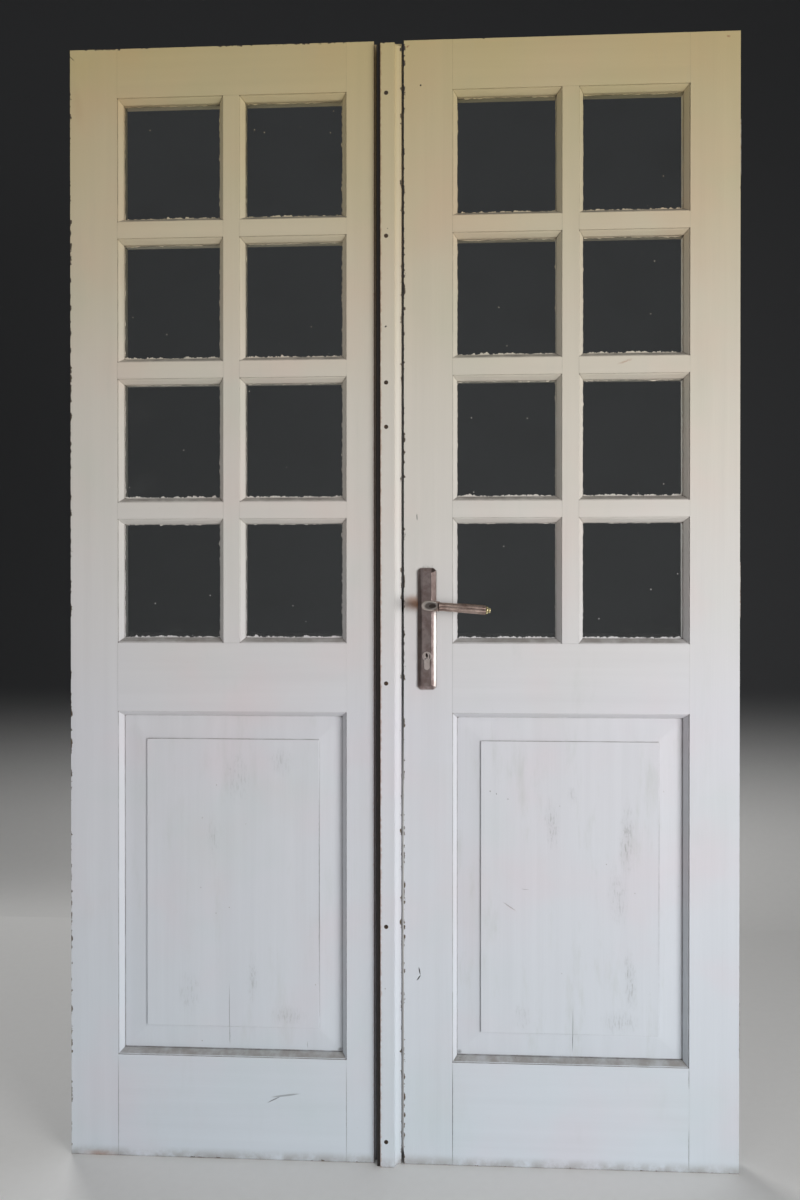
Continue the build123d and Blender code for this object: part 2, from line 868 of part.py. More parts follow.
def lock_case():
    """The hollow case of the mortise lock, with its face plate."""
    x = across(RIGHT, spindle_u)
    half = case_thickness / 2
    hollow = leaf_block(
        RIGHT, leaf_width - faceplate_thickness - case_depth + case_wall, leaf_width - faceplate_thickness,
        case_wall - half, half - case_wall, case_bottom + case_wall, case_bottom + case_height - case_wall,
    )
    case = lock_space(0) - hollow + faceplate(0, leaf_width)
    cuts = [
        bolt_slot(spindle_height, latch_height, latch_width),
        bolt_slot(dead_bolt_z, dead_bolt_height, dead_bolt_width),
        rod(x, -half - spare, spindle_height, hub_radius + hub_play, case_thickness + 2 * spare, (0, 1, 0)),
        profile(cylinder_height, profile_play, -half - spare, half + spare),
    ]
    return case - cuts - faceplate_screws(screw_play)


def latch_bolt():
    """The sprung latch bolt, with its nose bevelled on the closing side."""
    tip = leaf_width + latch_throw
    half = latch_width / 2
    low = spindle_height - latch_height / 2
    bolt = leaf_block(RIGHT, tip - latch_length, tip, -half, half, low, low + latch_height)
    bevel = [(leaf_width, -half), (tip, half / 2), (tip + spare, half / 2), (tip + spare, -half - spare)]
    bevel.append((leaf_width, -half - spare))
    outline = Polyline(*[(across(RIGHT, u), y, low - spare) for u, y in bevel], close=True)
    return bolt - extrude(make_face(outline), amount=latch_height + 2 * spare, dir=(0, 0, 1))


def dead_bolt():
    """The dead bolt, drawn back flush with the face plate, and the talon that the cam pushes."""
    start = leaf_width - dead_bolt_length
    half = dead_bolt_width / 2
    low = dead_bolt_z - dead_bolt_height / 2
    bolt = leaf_block(RIGHT, start, leaf_width, -half, half, low, low + dead_bolt_height)
    side = talon_thickness / 2
    return bolt + leaf_block(RIGHT, start, start + talon_width, -side, side, low - talon_drop, low)


def square_bar(size, y0, y1):
    """A square bar on the line of the spindle."""
    x = across(RIGHT, spindle_u)
    half = size / 2
    return block(x - half, x + half, y0, y1, spindle_height - half, spindle_height + half)


def follower():
    """The follower that the spindle turns inside the lock, with its nose."""
    x = across(RIGHT, spindle_u)
    half = case_thickness / 2
    inner = half - case_wall - hub_play
    shape = rod(x, -half, spindle_height, hub_radius, case_thickness, (0, 1, 0))
    shape += rod(x, -inner, spindle_height, follower_radius, 2 * inner, (0, 1, 0))
    side = follower_nose_width / 2
    top = spindle_height + follower_nose_reach
    shape += block(x - side, x + side, -inner, inner, spindle_height, top)
    return shape - square_bar(spindle_size + 2 * spindle_play, -half - spare, half + spare)


def spindle():
    """The square bar through both levers and the follower."""
    return square_bar(spindle_size, -spindle_reach, spindle_reach)


def cylinder_body():
    """The body of the lock cylinder, bored for its plugs and cut away for its cam."""
    x = across(RIGHT, spindle_u)
    half = cam_thickness / 2 + cam_play
    start = cylinder_reach + spare
    bore = rod(x, -start, cylinder_height, plug_radius + plug_play, 2 * start, (0, 1, 0))
    window = rod(x, -half, cylinder_height, cam_radius + cam_play, 2 * half, (0, 1, 0))
    return profile(cylinder_height, 0, -cylinder_reach, cylinder_reach) - bore - window


def cylinder_plug():
    """The two plugs of the cylinder and the cam between them, as they turn together."""
    x = across(RIGHT, spindle_u)
    half = cam_thickness / 2
    z = cylinder_height
    end = cylinder_reach + plug_reach
    slot_x = key_slot_width / 2
    slot_z = key_slot_height / 2
    pieces = []
    for face in (-1, 1):
        plug = rod(x, face * half, z, plug_radius, end - half, (0, face, 0))
        y0, y1 = face * (end - key_slot_depth), face * (end + spare)
        pieces.append(plug - block(x - slot_x, x + slot_x, y0, y1, z - slot_z, z + slot_z))
    cam = rod(x, -half, z, plug_radius, cam_thickness, (0, 1, 0))
    tip = block(x - cam_width / 2, x + cam_width / 2, -half, half, z - cam_radius, z)
    round_end = rod(x, -half, z, cam_radius, cam_thickness, (0, 1, 0))
    pieces.append(cam + (tip & round_end))
    return pieces


def octagon(x, z, width, height, corner):
    """Points of a rectangle with its corners cut off."""
    w = width / 2
    h = height / 2
    quarter = [(w, h - corner), (w - corner, h)]
    points = []
    for sign_x, sign_z in ((1, 1), (-1, 1), (-1, -1), (1, -1)):
        pair = quarter if sign_x * sign_z > 0 else quarter[::-1]
        points += [(x + sign_x * a, z + sign_z * b) for a, b in pair]
    return points


def plate_bolt_heights():
    """Height of each of the two bolts that hold the handle plates together."""
    return [spindle_height + plate_bolt_rise, spindle_height - plate_bolt_drop]


def handle_plate(face):
    """A long plate with bevelled sides and ends, on the front (-1) or the back (1) of the right leaf."""
    x = across(RIGHT, spindle_u)
    z = plate_top - plate_height / 2
    base_y = face * leaf_thickness / 2
    edge_y = base_y + face * plate_edge
    top_y = base_y + face * plate_thickness
    wide = octagon(x, z, plate_width, plate_height, plate_corner)
    flat_width = plate_width - 2 * plate_bevel
    flat_height = plate_height - 2 * plate_end_bevel
    narrow = octagon(x, z, flat_width, flat_height, plate_flat_corner)
    shape = prism(wide, base_y, edge_y) if face > 0 else prism(wide, edge_y, base_y)
    shape += loft([outline_face(wide, edge_y), outline_face(narrow, top_y)], ruled=True)
    y0 = min(base_y, top_y) - spare
    y1 = max(base_y, top_y) + spare
    cuts = [
        rod(x, y0, spindle_height, neck_radius + hub_play, y1 - y0, (0, 1, 0)),
        profile(cylinder_height, plate_profile_play, y0, y1),
    ]
    for height in plate_bolt_heights():
        if face > 0:
            cuts.append(plate_bolt(height, screw_play))
        else:
            blind = plate_thickness - plate_bolt_cover
            cuts.append(rod(x, base_y, height, plate_bolt_radius + screw_play, blind, (0, face, 0)))
    return shape - cuts


def plate_bolt(height, play):
    """One through bolt of the handle plates, driven from the back, or the hole for it."""
    x = across(RIGHT, spindle_u)
    face_y = back + plate_thickness
    length = face_y - plate_face - plate_bolt_cover - screw_play
    grow = plate_bolt_radius - screw_radius
    return screw(x, face_y, height, (0, -1, 0), length, play, grow)


def grip_outline(x, radius):
    """The reeded section of the grip, as an upright face across X."""
    points = []
    for index in range(2 * grip_reeds):
        angle = pi * index / grip_reeds
        reach = radius - (index % 2) * reed_depth
        points.append((x, lever_y + reach * cos(angle), reach * sin(angle)))
    return make_face(Polyline(*points, close=True))


def elbow_dish():
    """The shallow hollow in the face of the elbow, inside its rounded rim."""
    face_y = lever_y - elbow_thickness / 2
    radius = elbow_radius - dish_rim
    depth = dish_depth + spare
    hollow = rod(0, face_y - spare, 0, radius, depth, (0, 1, 0))
    return hollow + block(0, elbow_length - dish_rim, face_y - spare, face_y + dish_depth, -radius, radius)


def elbow():
    """The rounded block between the neck and the grip, about the origin."""
    y0 = lever_y - elbow_thickness / 2
    shape = rod(0, y0, 0, elbow_radius, elbow_thickness, (0, 1, 0))
    shape += block(0, elbow_length, y0, y0 + elbow_thickness, -elbow_radius, elbow_radius)
    rims = [edge for edge in shape.edges() if abs(edge.center().Y - lever_y) > elbow_thickness / 2 - spare]
    rims = [edge for edge in rims if edge.center().X < elbow_length - spare]
    return fillet(rims, elbow_round) - elbow_dish()


def placed_lever(shape, face):
    """Drooped to its rest angle, moved to the spindle, and mirrored for the back."""
    shape = Pos(across(RIGHT, spindle_u), 0, spindle_height) * Rot(0, lever_droop, 0) * shape
    return mirror(shape, Plane.XZ) if face > 0 else shape


def lever(face):
    """A lever handle: a neck, an elbow, a collar and a reeded grip."""
    neck_start = plate_face + neck_depth
    neck = rod(0, neck_start, 0, neck_radius, neck_start - lever_y, (0, -1, 0))
    collar = rod(elbow_length, lever_y, 0, collar_radius, grip_start - elbow_length, (1, 0, 0))
    sections = [grip_outline(grip_start, grip_radius), grip_outline(grip_end, grip_end_radius)]
    grip = loft(sections, ruled=True)
    shape = placed_lever(elbow() + neck + collar + grip, face)
    socket = spindle_reach + spindle_play
    y0, y1 = sorted((face * (abs(neck_start) - spare), face * socket))
    return shape - square_bar(spindle_size + 2 * spindle_play, y0, y1)


def turned_bead(start, radius, length):
    """A short round bead with softened edges, on the axis of the grip."""
    disc = rod(start, lever_y, 0, radius, length, (1, 0, 0))
    return fillet(disc.edges().filter_by(GeomType.CIRCLE), end_cap_round)


def lever_end_caps():
    """The turned cap on the end of each grip: a wide bead and a small one."""
    wide = turned_bead(grip_end, end_cap_radius, end_cap_length)
    small = turned_bead(grip_end + end_cap_length, end_cap_tip_radius, end_cap_tip_length)
    return [placed_lever(wide + small, face) for face in (-1, 1)]


def right_meeting_stile(lattice):
    """The meeting stile of the right leaf, with the lock and the handle plates let in."""
    x = across(RIGHT, spindle_u)
    y0 = front - spare
    through = leaf_thickness + 2 * spare
    cuts = [lock_space(case_play), faceplate(mortise_play, leaf_width + spare)]
    cuts += faceplate_screws(screw_play)
    cuts.append(rod(x, y0, spindle_height, hub_radius + bolt_hole_play, through, (0, 1, 0)))
    cuts.append(profile(cylinder_height, bolt_hole_play, y0, back + spare))
    for height in plate_bolt_heights():
        cuts.append(rod(x, y0, height, plate_bolt_radius + bolt_hole_play, through, (0, 1, 0)))
    return meeting_stile(RIGHT, lattice) - cuts


def right_screws():
    """Every screw of the right leaf, and the bolts of the handle plates."""
    screws = faceplate_screws(0) + [plate_bolt(height, 0) for height in plate_bolt_heights()]
    for z in hinge_heights():
        screws += flap_screws(RIGHT, 0, z, 0)
    return screws


def leaf_nodes(side, name):
    """The joinery and the glass of one leaf, by node name."""
    lattice = leaf_lattice(side)
    stile = left_meeting_stile(lattice) if side == LEFT else right_meeting_stile(lattice)
    nodes = {
        f"{name}_hinge_stile": hinge_stile(side, lattice),
        f"{name}_meeting_stile": stile,
        f"{name}_top_rail": top_rail(side, lattice),
        f"{name}_lock_rail": lock_rail(side, lattice),
        f"{name}_bottom_rail": bottom_rail(side, lattice),
        f"{name}_upright_bar": upright_bar(side, lattice),
        f"{name}_cross_bars": cross_bars(side, lattice),
        f"{name}_panel": panel(side),
        f"{name}_glazing_beads": glazing_beads(side),
        f"{name}_leaf_hinges": leaf_hinges(side),
        f"{name}_frame_hinges": frame_hinges(side),
        f"{name}_hinge_pins": hinge_pins(side),
    }
    for index, pane in enumerate(glass_panes(side), start=1):
        nodes[f"{name}_pane_{index}"] = pane
    return nodes


def left_fittings():
    """What is fixed to the left leaf only."""
    return {
        "cover_strip": cover_strip(),
        "strike_plate": strike_plate(),
        "top_flush_case": flush_case(1),
        "top_flush_bolt": flush_bolt(1),
        "bottom_flush_case": flush_case(-1),
        "bottom_flush_bolt": flush_bolt(-1),
        "left_screws": left_screws(),
    }


def right_fittings():
    """What is fixed to the right leaf only."""
    return {
        "lock_case": lock_case(),
        "latch_bolt": latch_bolt(),
        "dead_bolt": dead_bolt(),
        "follower": follower(),
        "spindle": spindle(),
        "cylinder_body": cylinder_body(),
        "cylinder_plug": cylinder_plug(),
        "outside_plate": handle_plate(-1),
        "inside_plate": handle_plate(1),
        "outside_lever": lever(-1),
        "inside_lever": lever(1),
        "lever_end_caps": lever_end_caps(),
        "right_screws": right_screws(),
    }


def write_nodes(nodes):
    """Each node goes to its own STEP file."""
    os.makedirs("parts", exist_ok=True)
    for name, shape in nodes.items():
        if isinstance(shape, list):
            shape = Compound(children=[solid for piece in shape for solid in piece.solids()])
        export_step(shape, f"parts/{name}.step")


write_nodes(leaf_nodes(LEFT, "left") | leaf_nodes(RIGHT, "right") | left_fittings() | right_fittings())
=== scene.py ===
import math
import random

import bmesh
import bpy
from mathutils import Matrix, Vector


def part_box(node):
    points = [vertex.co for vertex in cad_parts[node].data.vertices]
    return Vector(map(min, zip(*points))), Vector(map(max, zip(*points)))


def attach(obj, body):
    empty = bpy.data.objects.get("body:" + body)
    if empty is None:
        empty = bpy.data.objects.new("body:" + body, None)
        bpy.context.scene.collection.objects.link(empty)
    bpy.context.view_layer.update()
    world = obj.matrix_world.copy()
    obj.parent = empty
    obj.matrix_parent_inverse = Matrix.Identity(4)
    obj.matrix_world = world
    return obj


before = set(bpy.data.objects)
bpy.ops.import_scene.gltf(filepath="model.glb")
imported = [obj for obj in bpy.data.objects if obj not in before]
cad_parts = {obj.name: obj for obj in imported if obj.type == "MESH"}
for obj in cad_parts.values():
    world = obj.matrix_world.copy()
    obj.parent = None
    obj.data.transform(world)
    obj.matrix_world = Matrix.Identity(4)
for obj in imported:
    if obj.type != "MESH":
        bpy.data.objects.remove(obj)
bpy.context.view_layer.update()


# View and studio. The camera stands 1.7 m in front of the doors, level with the lever, as in
# the photograph. The floor is plain and pale, a dark sweep behind it lets white doors and clear
# glass show, and the soft light comes mostly from low on the right.
camera = bpy.data.objects.new("camera", bpy.data.cameras.new("camera"))
camera.data.lens = 27.6
camera.location = (0.084, -1.691, 1.034)
camera.rotation_euler = (math.radians(89.75), 0, math.radians(2.84))
bpy.context.collection.objects.link(camera)
bpy.context.scene.camera = camera
bpy.context.scene.view_settings.view_transform = "Standard"

studio_half = 24.0
sweep_start = 1.2
sweep_radius = 0.6
sweep_lift = 0.002
sweep_top = 12.0
sweep_steps = 12
pale_floor = (0.84, 0.835, 0.82, 1.0)
dark_wall = (0.026, 0.027, 0.029, 1.0)
room_grey = (0.20, 0.204, 0.208, 1.0)
plain_white = (1.0, 1.0, 1.0, 1.0)


def wire(tree, socket, value):
    """Joins an output to a socket, or sets the socket to a plain value."""
    if isinstance(value, bpy.types.NodeSocket):
        tree.links.new(value, socket)
    else:
        socket.default_value = value


def add(tree, kind, values=None, **settings):
    """Adds one node, with what goes into its sockets given by name or number."""
    node = tree.nodes.new("ShaderNode" + kind)
    for name, setting in settings.items():
        setattr(node, name, setting)
    for name, value in (values or {}).items():
        wire(tree, node.inputs[name], value)
    return node


def maths(tree, operation, *values):
    """A number worked out from others."""
    return add(tree, "Math", dict(enumerate(values)), operation=operation).outputs[0]


def vectors(tree, operation, *values):
    """A vector worked out from others."""
    return add(tree, "VectorMath", dict(enumerate(values)), operation=operation).outputs[0]


def upward(tree, vector):
    """The height of a place, or how far a direction looks up."""
    return add(tree, "SeparateXYZ", {0: vector}).outputs[2]


def noise(tree, place, scale, detail=2.0, roughness=0.5):
    """Plain cloudy noise between 0 and 1."""
    values = {"Vector": place, "Scale": scale, "Detail": detail, "Roughness": roughness}
    return add(tree, "TexNoise", values).outputs[0]


def soft_step(tree, value, low, high):
    """0 up to low and 1 from high on, with a soft rise between them."""
    values = {"Value": value, "From Min": low, "From Max": high}
    return add(tree, "MapRange", values, interpolation_type="SMOOTHSTEP").outputs[0]


def between(tree, share, low, high):
    """A number that goes from low to high as the share goes from 0 to 1."""
    return maths(tree, "MULTIPLY_ADD", share, high - low, low)


def mixed(tree, share, first, second, blend="MIX"):
    """One colour laid over another by a share."""
    node = add(tree, "Mix", {0: share, 6: first, 7: second}, data_type="RGBA", blend_type=blend)
    return node.outputs[2]


def new_material(name):
    """A material with its surface shader, and the place of each point on the doors at rest."""
    material = bpy.data.materials.new(name)
    material.use_nodes = True
    tree = material.node_tree
    place = add(tree, "TexCoord").outputs["Object"]
    return material, tree, tree.nodes["Principled BSDF"], place


def studio_sheet(name, rows):
    """A wide sheet of the studio that runs from side to side through rows of (y, z)."""
    mesh = bpy.data.meshes.new(name)
    points = [(x, y, z) for y, z in rows for x in (-studio_half, studio_half)]
    faces = [(2 * i, 2 * i + 1, 2 * i + 3, 2 * i + 2) for i in range(len(rows) - 1)]
    mesh.from_pydata(points, [], faces)
    for face in mesh.polygons:
        face.use_smooth = True
    sheet = bpy.data.objects.new(name, mesh)
    bpy.context.collection.objects.link(sheet)
    return sheet


def studio_finish(name, low_colour, high_colour, low, high):
    """A matt studio surface whose colour goes from one to another with height."""
    material, tree, shader, place = new_material(name)
    share = soft_step(tree, upward(tree, place), low, high)
    grain = between(tree, noise(tree, place, 60.0), 0.98, 1.02)
    colour = mixed(tree, share, low_colour, high_colour)
    wire(tree, shader.inputs["Base Color"], mixed(tree, 1.0, colour, grain, "MULTIPLY"))
    shader.inputs["Roughness"].default_value = 0.85
    return material


floor = studio_sheet("studio_floor", [(-studio_half, 0.0), (studio_half, 0.0)])
floor.data.materials.append(studio_finish("studio_floor_paint", pale_floor, pale_floor, 1.0, 2.0))

sweep_rows = []
for step in range(sweep_steps + 1):
    turn = math.radians(90 * step / sweep_steps)
    rise = sweep_radius * (1 - math.cos(turn))
    sweep_rows.append((sweep_start + sweep_radius * math.sin(turn), sweep_lift + rise))
sweep_rows.append((sweep_start + sweep_radius, sweep_top))
sweep = studio_sheet("studio_sweep", sweep_rows)
sweep_paint = studio_finish("studio_sweep_paint", pale_floor, dark_wall, 0.0, 0.7)
sweep.data.materials.append(sweep_paint)

# The sweep is clear from behind and throws no shadow, so that the doors' back can be seen.
tree = sweep_paint.node_tree
shadow = add(tree, "LightPath").outputs["Is Shadow Ray"]
clear = maths(tree, "MAXIMUM", add(tree, "NewGeometry").outputs["Backfacing"], shadow)
front_only = add(tree, "MixShader", {
    0: clear,
    1: tree.nodes["Principled BSDF"].outputs[0],
    2: add(tree, "BsdfTransparent").outputs[0],
})
wire(tree, tree.nodes["Material Output"].inputs["Surface"], front_only.outputs[0])


def soft_lamp(name, place, aim, size, power, card=False):
    """A large soft white lamp that faces a point. A card is only seen mirrored in gloss."""
    lamp = bpy.data.objects.new(name, bpy.data.lights.new(name, "AREA"))
    lamp.data.shape = "RECTANGLE"
    lamp.data.size, lamp.data.size_y = size
    lamp.data.spread = math.radians(70)
    lamp.data.energy = power
    lamp.location = place
    lamp.rotation_euler = (Vector(aim) - Vector(place)).to_track_quat("-Z", "Y").to_euler()
    lamp.visible_camera = False
    lamp.visible_transmission = False
    lamp.visible_diffuse = not card
    lamp.visible_glossy = card
    bpy.context.collection.objects.link(lamp)


soft_lamp("key_lamp", (3.0, -2.75, 0.75), (0.15, 0.0, 0.70), (2.0, 1.4), 24.0)
soft_lamp("fill_lamp", (-3.0, -4.6, 2.6), (0.0, 0.0, 1.1), (2.6, 2.2), 3.8)
soft_lamp("back_lamp", (-2.6, 4.4, 2.2), (0.0, 0.0, 1.0), (2.4, 2.0), 28.0)
soft_lamp("right_card", (4.6, -4.5, 1.6), (0.0, 0.0, 1.0), (4.4, 3.0), 40.0, card=True)
soft_lamp("back_card", (-3.6, 4.6, 1.7), (0.0, 0.0, 1.0), (4.0, 3.0), 24.0, card=True)

world = bpy.data.worlds.new("studio_world")
bpy.context.scene.world = world
world.use_nodes = True
tree = world.node_tree
rays = add(tree, "LightPath").outputs
seen = maths(tree, "MAXIMUM", rays["Is Camera Ray"], rays["Is Glossy Ray"])
seen = maths(tree, "MAXIMUM", seen, rays["Is Transmission Ray"])
room = add(tree, "Background", {"Color": room_grey, "Strength": 1.0})
light = add(tree, "Background", {"Color": plain_white, "Strength": 0.32})
both = add(tree, "MixShader", {0: seen, 1: light.outputs[0], 2: room.outputs[0]})
wire(tree, tree.nodes["World Output"].inputs["Surface"], both.outputs[0])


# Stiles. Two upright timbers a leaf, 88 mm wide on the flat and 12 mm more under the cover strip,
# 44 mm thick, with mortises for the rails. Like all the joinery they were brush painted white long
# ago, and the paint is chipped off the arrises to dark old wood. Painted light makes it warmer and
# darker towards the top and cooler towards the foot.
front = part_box("left_hinge_stile")[0][1]
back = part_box("left_hinge_stile")[1][1]
leaf_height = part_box("left_hinge_stile")[1][2]
strip_low, strip_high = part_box("cover_strip")

upright_grain = (230.0, 230.0, 7.0)
level_grain = (7.0, 230.0, 230.0)
upright_edge = (1.0, 1.0, 0.0)
level_edge = (0.0, 1.0, 1.0)
painted_arris = 0.0004
leaf_middle = leaf_height / 2
whole_height = 3.0

# Paint colours up the leaf with painted light in them: cool at the foot, warm and darker at the head.
cool_lit_foot_white = (0.565, 0.617, 0.672, 1)
middle_white = (0.607, 0.607, 0.64, 1)
warm_lit_upper_white = (0.63, 0.583, 0.505, 1)
warm_lit_head_white = (0.60, 0.482, 0.245, 1)
pink_cast = (1.03, 0.965, 0.965, 1)
green_cast = (0.955, 0.985, 0.965, 1)
damp_green = (0.38, 0.41, 0.36, 1)
dust_grey = (0.21, 0.19, 0.165, 1)
# Grime in the hollows, darkened further as painted shade.
grime_and_shade_brown = (0.10, 0.072, 0.055, 1)
speck_brown = (0.14, 0.11, 0.08, 1)
# Brown for stains, and for painted shadow.
stain_and_shadow_brown = (0.35, 0.155, 0.07, 1)
scuff_grey = (0.16, 0.17, 0.15, 1)
# Black for cracks, and for lines of painted shade.
crack_and_shade_black = (0.016, 0.012, 0.010, 1)
dark_wood = (0.03, 0.023, 0.018, 1)
light_wood = (0.16, 0.115, 0.08, 1)


def effect(name, takes, gives):
    """Starts a shared effect: a node group with named sockets."""
    group = bpy.data.node_groups.new(name, "ShaderNodeTree")
    for direction, sockets in (("INPUT", takes), ("OUTPUT", gives)):
        for label, kind in sockets.items():
            group.interface.new_socket(name=label, in_out=direction, socket_type="NodeSocket" + kind)
    inputs = group.nodes.new("NodeGroupInput").outputs
    outputs = group.nodes.new("NodeGroupOutput").inputs
    return group, inputs, outputs


def use(tree, group, values):
    """Places a shared effect in a material with its own values."""
    node = tree.nodes.new("ShaderNodeGroup")
    node.node_tree = group
    for label, value in values.items():
        wire(tree, node.inputs[label], value)
    return node.outputs


def make_old_white_and_light():
    """White paint in painted light, cool at the foot and warmer and darker towards the head, gone patchy.
    """
    group, takes, gives = effect("old_white_and_light", {"Place": "Vector"}, {"Colour": "Color"})
    wander = between(group, noise(group, takes["Place"], 2.0), -0.15, 0.15)
    height = maths(group, "ADD", upward(group, takes["Place"]), wander)
    # Painted light: the ramp colours the paint by height, cool light at the foot and warm at the head.
    ramp = add(group, "ValToRGB", {0: maths(group, "DIVIDE", height, leaf_height)})
    stops = ramp.color_ramp.elements
    stops[0].position, stops[0].color = 0.0, cool_lit_foot_white
    stops[1].position, stops[1].color = 1.0, warm_lit_head_white
    for position, colour in ((0.38, middle_white), (0.68, warm_lit_upper_white)):
        stop = stops.new(position)
        stop.color = colour
    pink = soft_step(group, noise(group, takes["Place"], 5.0, 3.0), 0.45, 0.75)
    elsewhere = vectors(group, "ADD", takes["Place"], (7.0, 3.0, 5.0))
    green = soft_step(group, noise(group, elsewhere, 4.0, 3.0), 0.5, 0.75)
    colour = mixed(group, pink, ramp.outputs[0], pink_cast, "MULTIPLY")
    colour = mixed(group, green, colour, green_cast, "MULTIPLY")
    wire(group, gives["Colour"], colour)
    return group


def make_brush_marks():
    """The fine lines that a brush leaves along the work, and a slower change of tone."""
    takes = {"Place": "Vector", "Stretch": "Vector"}
    group, takes, gives = effect("brush_marks", takes, {"Height": "Float", "Tone": "Float"})
    along = vectors(group, "MULTIPLY", takes["Place"], takes["Stretch"])
    wire(group, gives["Height"], noise(group, along, 1.0, 3.0, 0.6))
    wire(group, gives["Tone"], noise(group, along, 0.22, 3.0, 0.55))
    return group


def make_damp_streaks():
    """Faint streaks of green-grey damp that run down the paint."""
    takes = {"Place": "Vector", "Amount": "Float"}
    group, takes, gives = effect("damp_streaks", takes, {"Mask": "Float"})
    down = vectors(group, "MULTIPLY", takes["Place"], (26.0, 26.0, 5.0))
    streaks = soft_step(group, noise(group, down, 1.0, 5.0, 0.7), 0.54, 0.76)
    wire(group, gives["Mask"], maths(group, "MULTIPLY", streaks, takes["Amount"]))
    return group


def make_settled_dirt_and_shade():
    """Dust on the ledges and along the foot, and dark grime with painted shade in the hollows, in patches.
    """
    takes = {"Place": "Vector", "Facing": "Vector", "Openness": "Float"}
    group, takes, gives = effect("settled_dirt_and_shade", takes, {"Dust": "Float", "GrimeAndShade": "Float"})
    broken = soft_step(group, noise(group, takes["Place"], 34.0, 4.0, 0.65), 0.25, 0.65)
    ledge = soft_step(group, upward(group, takes["Facing"]), 0.3, 0.8)
    ledge = maths(group, "MULTIPLY", ledge, between(group, broken, 0.36, 0.78))
    foot = soft_step(group, upward(group, takes["Place"]), 0.022, 0.0)
    foot = maths(group, "MULTIPLY", foot, maths(group, "MULTIPLY", broken, 0.6))
    wire(group, gives["Dust"], maths(group, "MAXIMUM", ledge, foot))
    # Painted shade: darker where the hollows close in, laid on with the grime.
    hollow = soft_step(group, takes["Openness"], 0.84, 0.46)
    wire(group, gives["GrimeAndShade"], maths(group, "MULTIPLY", hollow, between(group, broken, 0.4, 1.0)))
    return group


def make_specks():
    """Scattered small spots of uneven size."""
    takes = {"Place": "Vector", "Spacing": "Float", "Radius": "Float", "Share": "Float"}
    group, takes, gives = effect("specks", takes, {"Mask": "Float"})
    cells = add(group, "TexVoronoi", {"Vector": takes["Place"], "Scale": takes["Spacing"]})
    pick = add(group, "SeparateColor", {0: cells.outputs["Color"]})
    size = maths(group, "MULTIPLY", takes["Radius"], maths(group, "ADD", pick.outputs[1], 0.3))
    inside = maths(group, "SUBTRACT", size, cells.outputs["Distance"])
    spot = soft_step(group, inside, 0.0, 0.012)
    chosen = maths(group, "LESS_THAN", pick.outputs[0], takes["Share"])
    wire(group, gives["Mask"], maths(group, "MULTIPLY", spot, chosen))
    return group


def make_mark():
    """One ragged oval or line at a given place, added to the marks before it."""
    takes = {"Before": "Float", "Place": "Vector", "Centre": "Vector", "Size": "Vector"}
    takes.update({"Turn": "Float", "Ragged": "Float", "Core": "Float", "Strength": "Float"})
    group, takes, gives = effect("mark", takes, {"Mask": "Float"})
    rough = add(group, "TexNoise", {"Vector": takes["Place"], "Scale": 160.0, "Detail": 3.0}).outputs[1]
    shift = vectors(group, "SUBTRACT", rough, (0.5, 0.5, 0.5))
    shift = vectors(group, "MULTIPLY", shift, takes["Ragged"])
    away = vectors(group, "ADD", vectors(group, "SUBTRACT", takes["Place"], takes["Centre"]), shift)
    turned = add(group, "VectorRotate", {"Vector": away, "Angle": takes["Turn"]}, rotation_type="Y_AXIS")
    oval = vectors(group, "DIVIDE", turned.outputs[0], takes["Size"])
    reach = add(group, "VectorMath", {0: oval}, operation="LENGTH").outputs["Value"]
    inside = maths(group, "MULTIPLY", soft_step(group, reach, 1.1, takes["Core"]), takes["Strength"])
    wire(group, gives["Mask"], maths(group, "MAXIMUM", inside, takes["Before"]))
    return group


def make_rub_lines():
    """Short upright dashes that break up a scuffed place."""
    group, takes, gives = effect("rub_lines", {"Place": "Vector"}, {"Mask": "Float"})
    along = vectors(group, "MULTIPLY", takes["Place"], (300.0, 300.0, 55.0))
    dashes = soft_step(group, noise(group, along, 1.0, 4.0, 0.7), 0.5, 0.62)
    wire(group, gives["Mask"], between(group, dashes, 0.18, 1.0))
    return group


def make_chipped_edge():
    """Chips along one arris, added to those before them. Weigh leaves out the arris's own direction."""
    takes = {"Before": "Float", "Place": "Vector", "Edge": "Vector", "Weigh": "Vector"}
    takes.update({"Reach": "Float", "Share": "Float"})
    group, takes, gives = effect("chipped_edge", takes, {"Mask": "Float"})
    away = vectors(group, "ABSOLUTE", vectors(group, "SUBTRACT", takes["Place"], takes["Edge"]))
    parts = add(group, "SeparateXYZ", {0: vectors(group, "MULTIPLY", away, takes["Weigh"])}).outputs
    distance = maths(group, "MAXIMUM", maths(group, "MAXIMUM", parts[0], parts[1]), parts[2])
    broken = noise(group, takes["Place"], 62.0, 5.0, 0.65)
    start = maths(group, "SUBTRACT", 0.78, maths(group, "MULTIPLY", takes["Share"], 0.45))
    depth = soft_step(group, broken, start, maths(group, "ADD", start, 0.16))
    reach = maths(group, "MULTIPLY", takes["Reach"], depth)
    mask = soft_step(group, maths(group, "SUBTRACT", reach, distance), 0.0, 0.0007)
    wire(group, gives["Mask"], maths(group, "MAXIMUM", mask, takes["Before"]))
    return group


def make_bare_wood():
    """The dark old wood where the paint has gone."""
    group, takes, gives = effect("bare_wood", {"Place": "Vector"}, {"Colour": "Color"})
    fleck = noise(group, takes["Place"], 90.0, 3.0)
    wire(group, gives["Colour"], mixed(group, fleck, dark_wood, light_wood))
    return group


old_white_and_light = make_old_white_and_light()
brush_marks = make_brush_marks()
damp_streaks = make_damp_streaks()
settled_dirt_and_shade = make_settled_dirt_and_shade()
specks = make_specks()
mark = make_mark()
rub_lines = make_rub_lines()
chipped_edge = make_chipped_edge()
bare_wood = make_bare_wood()


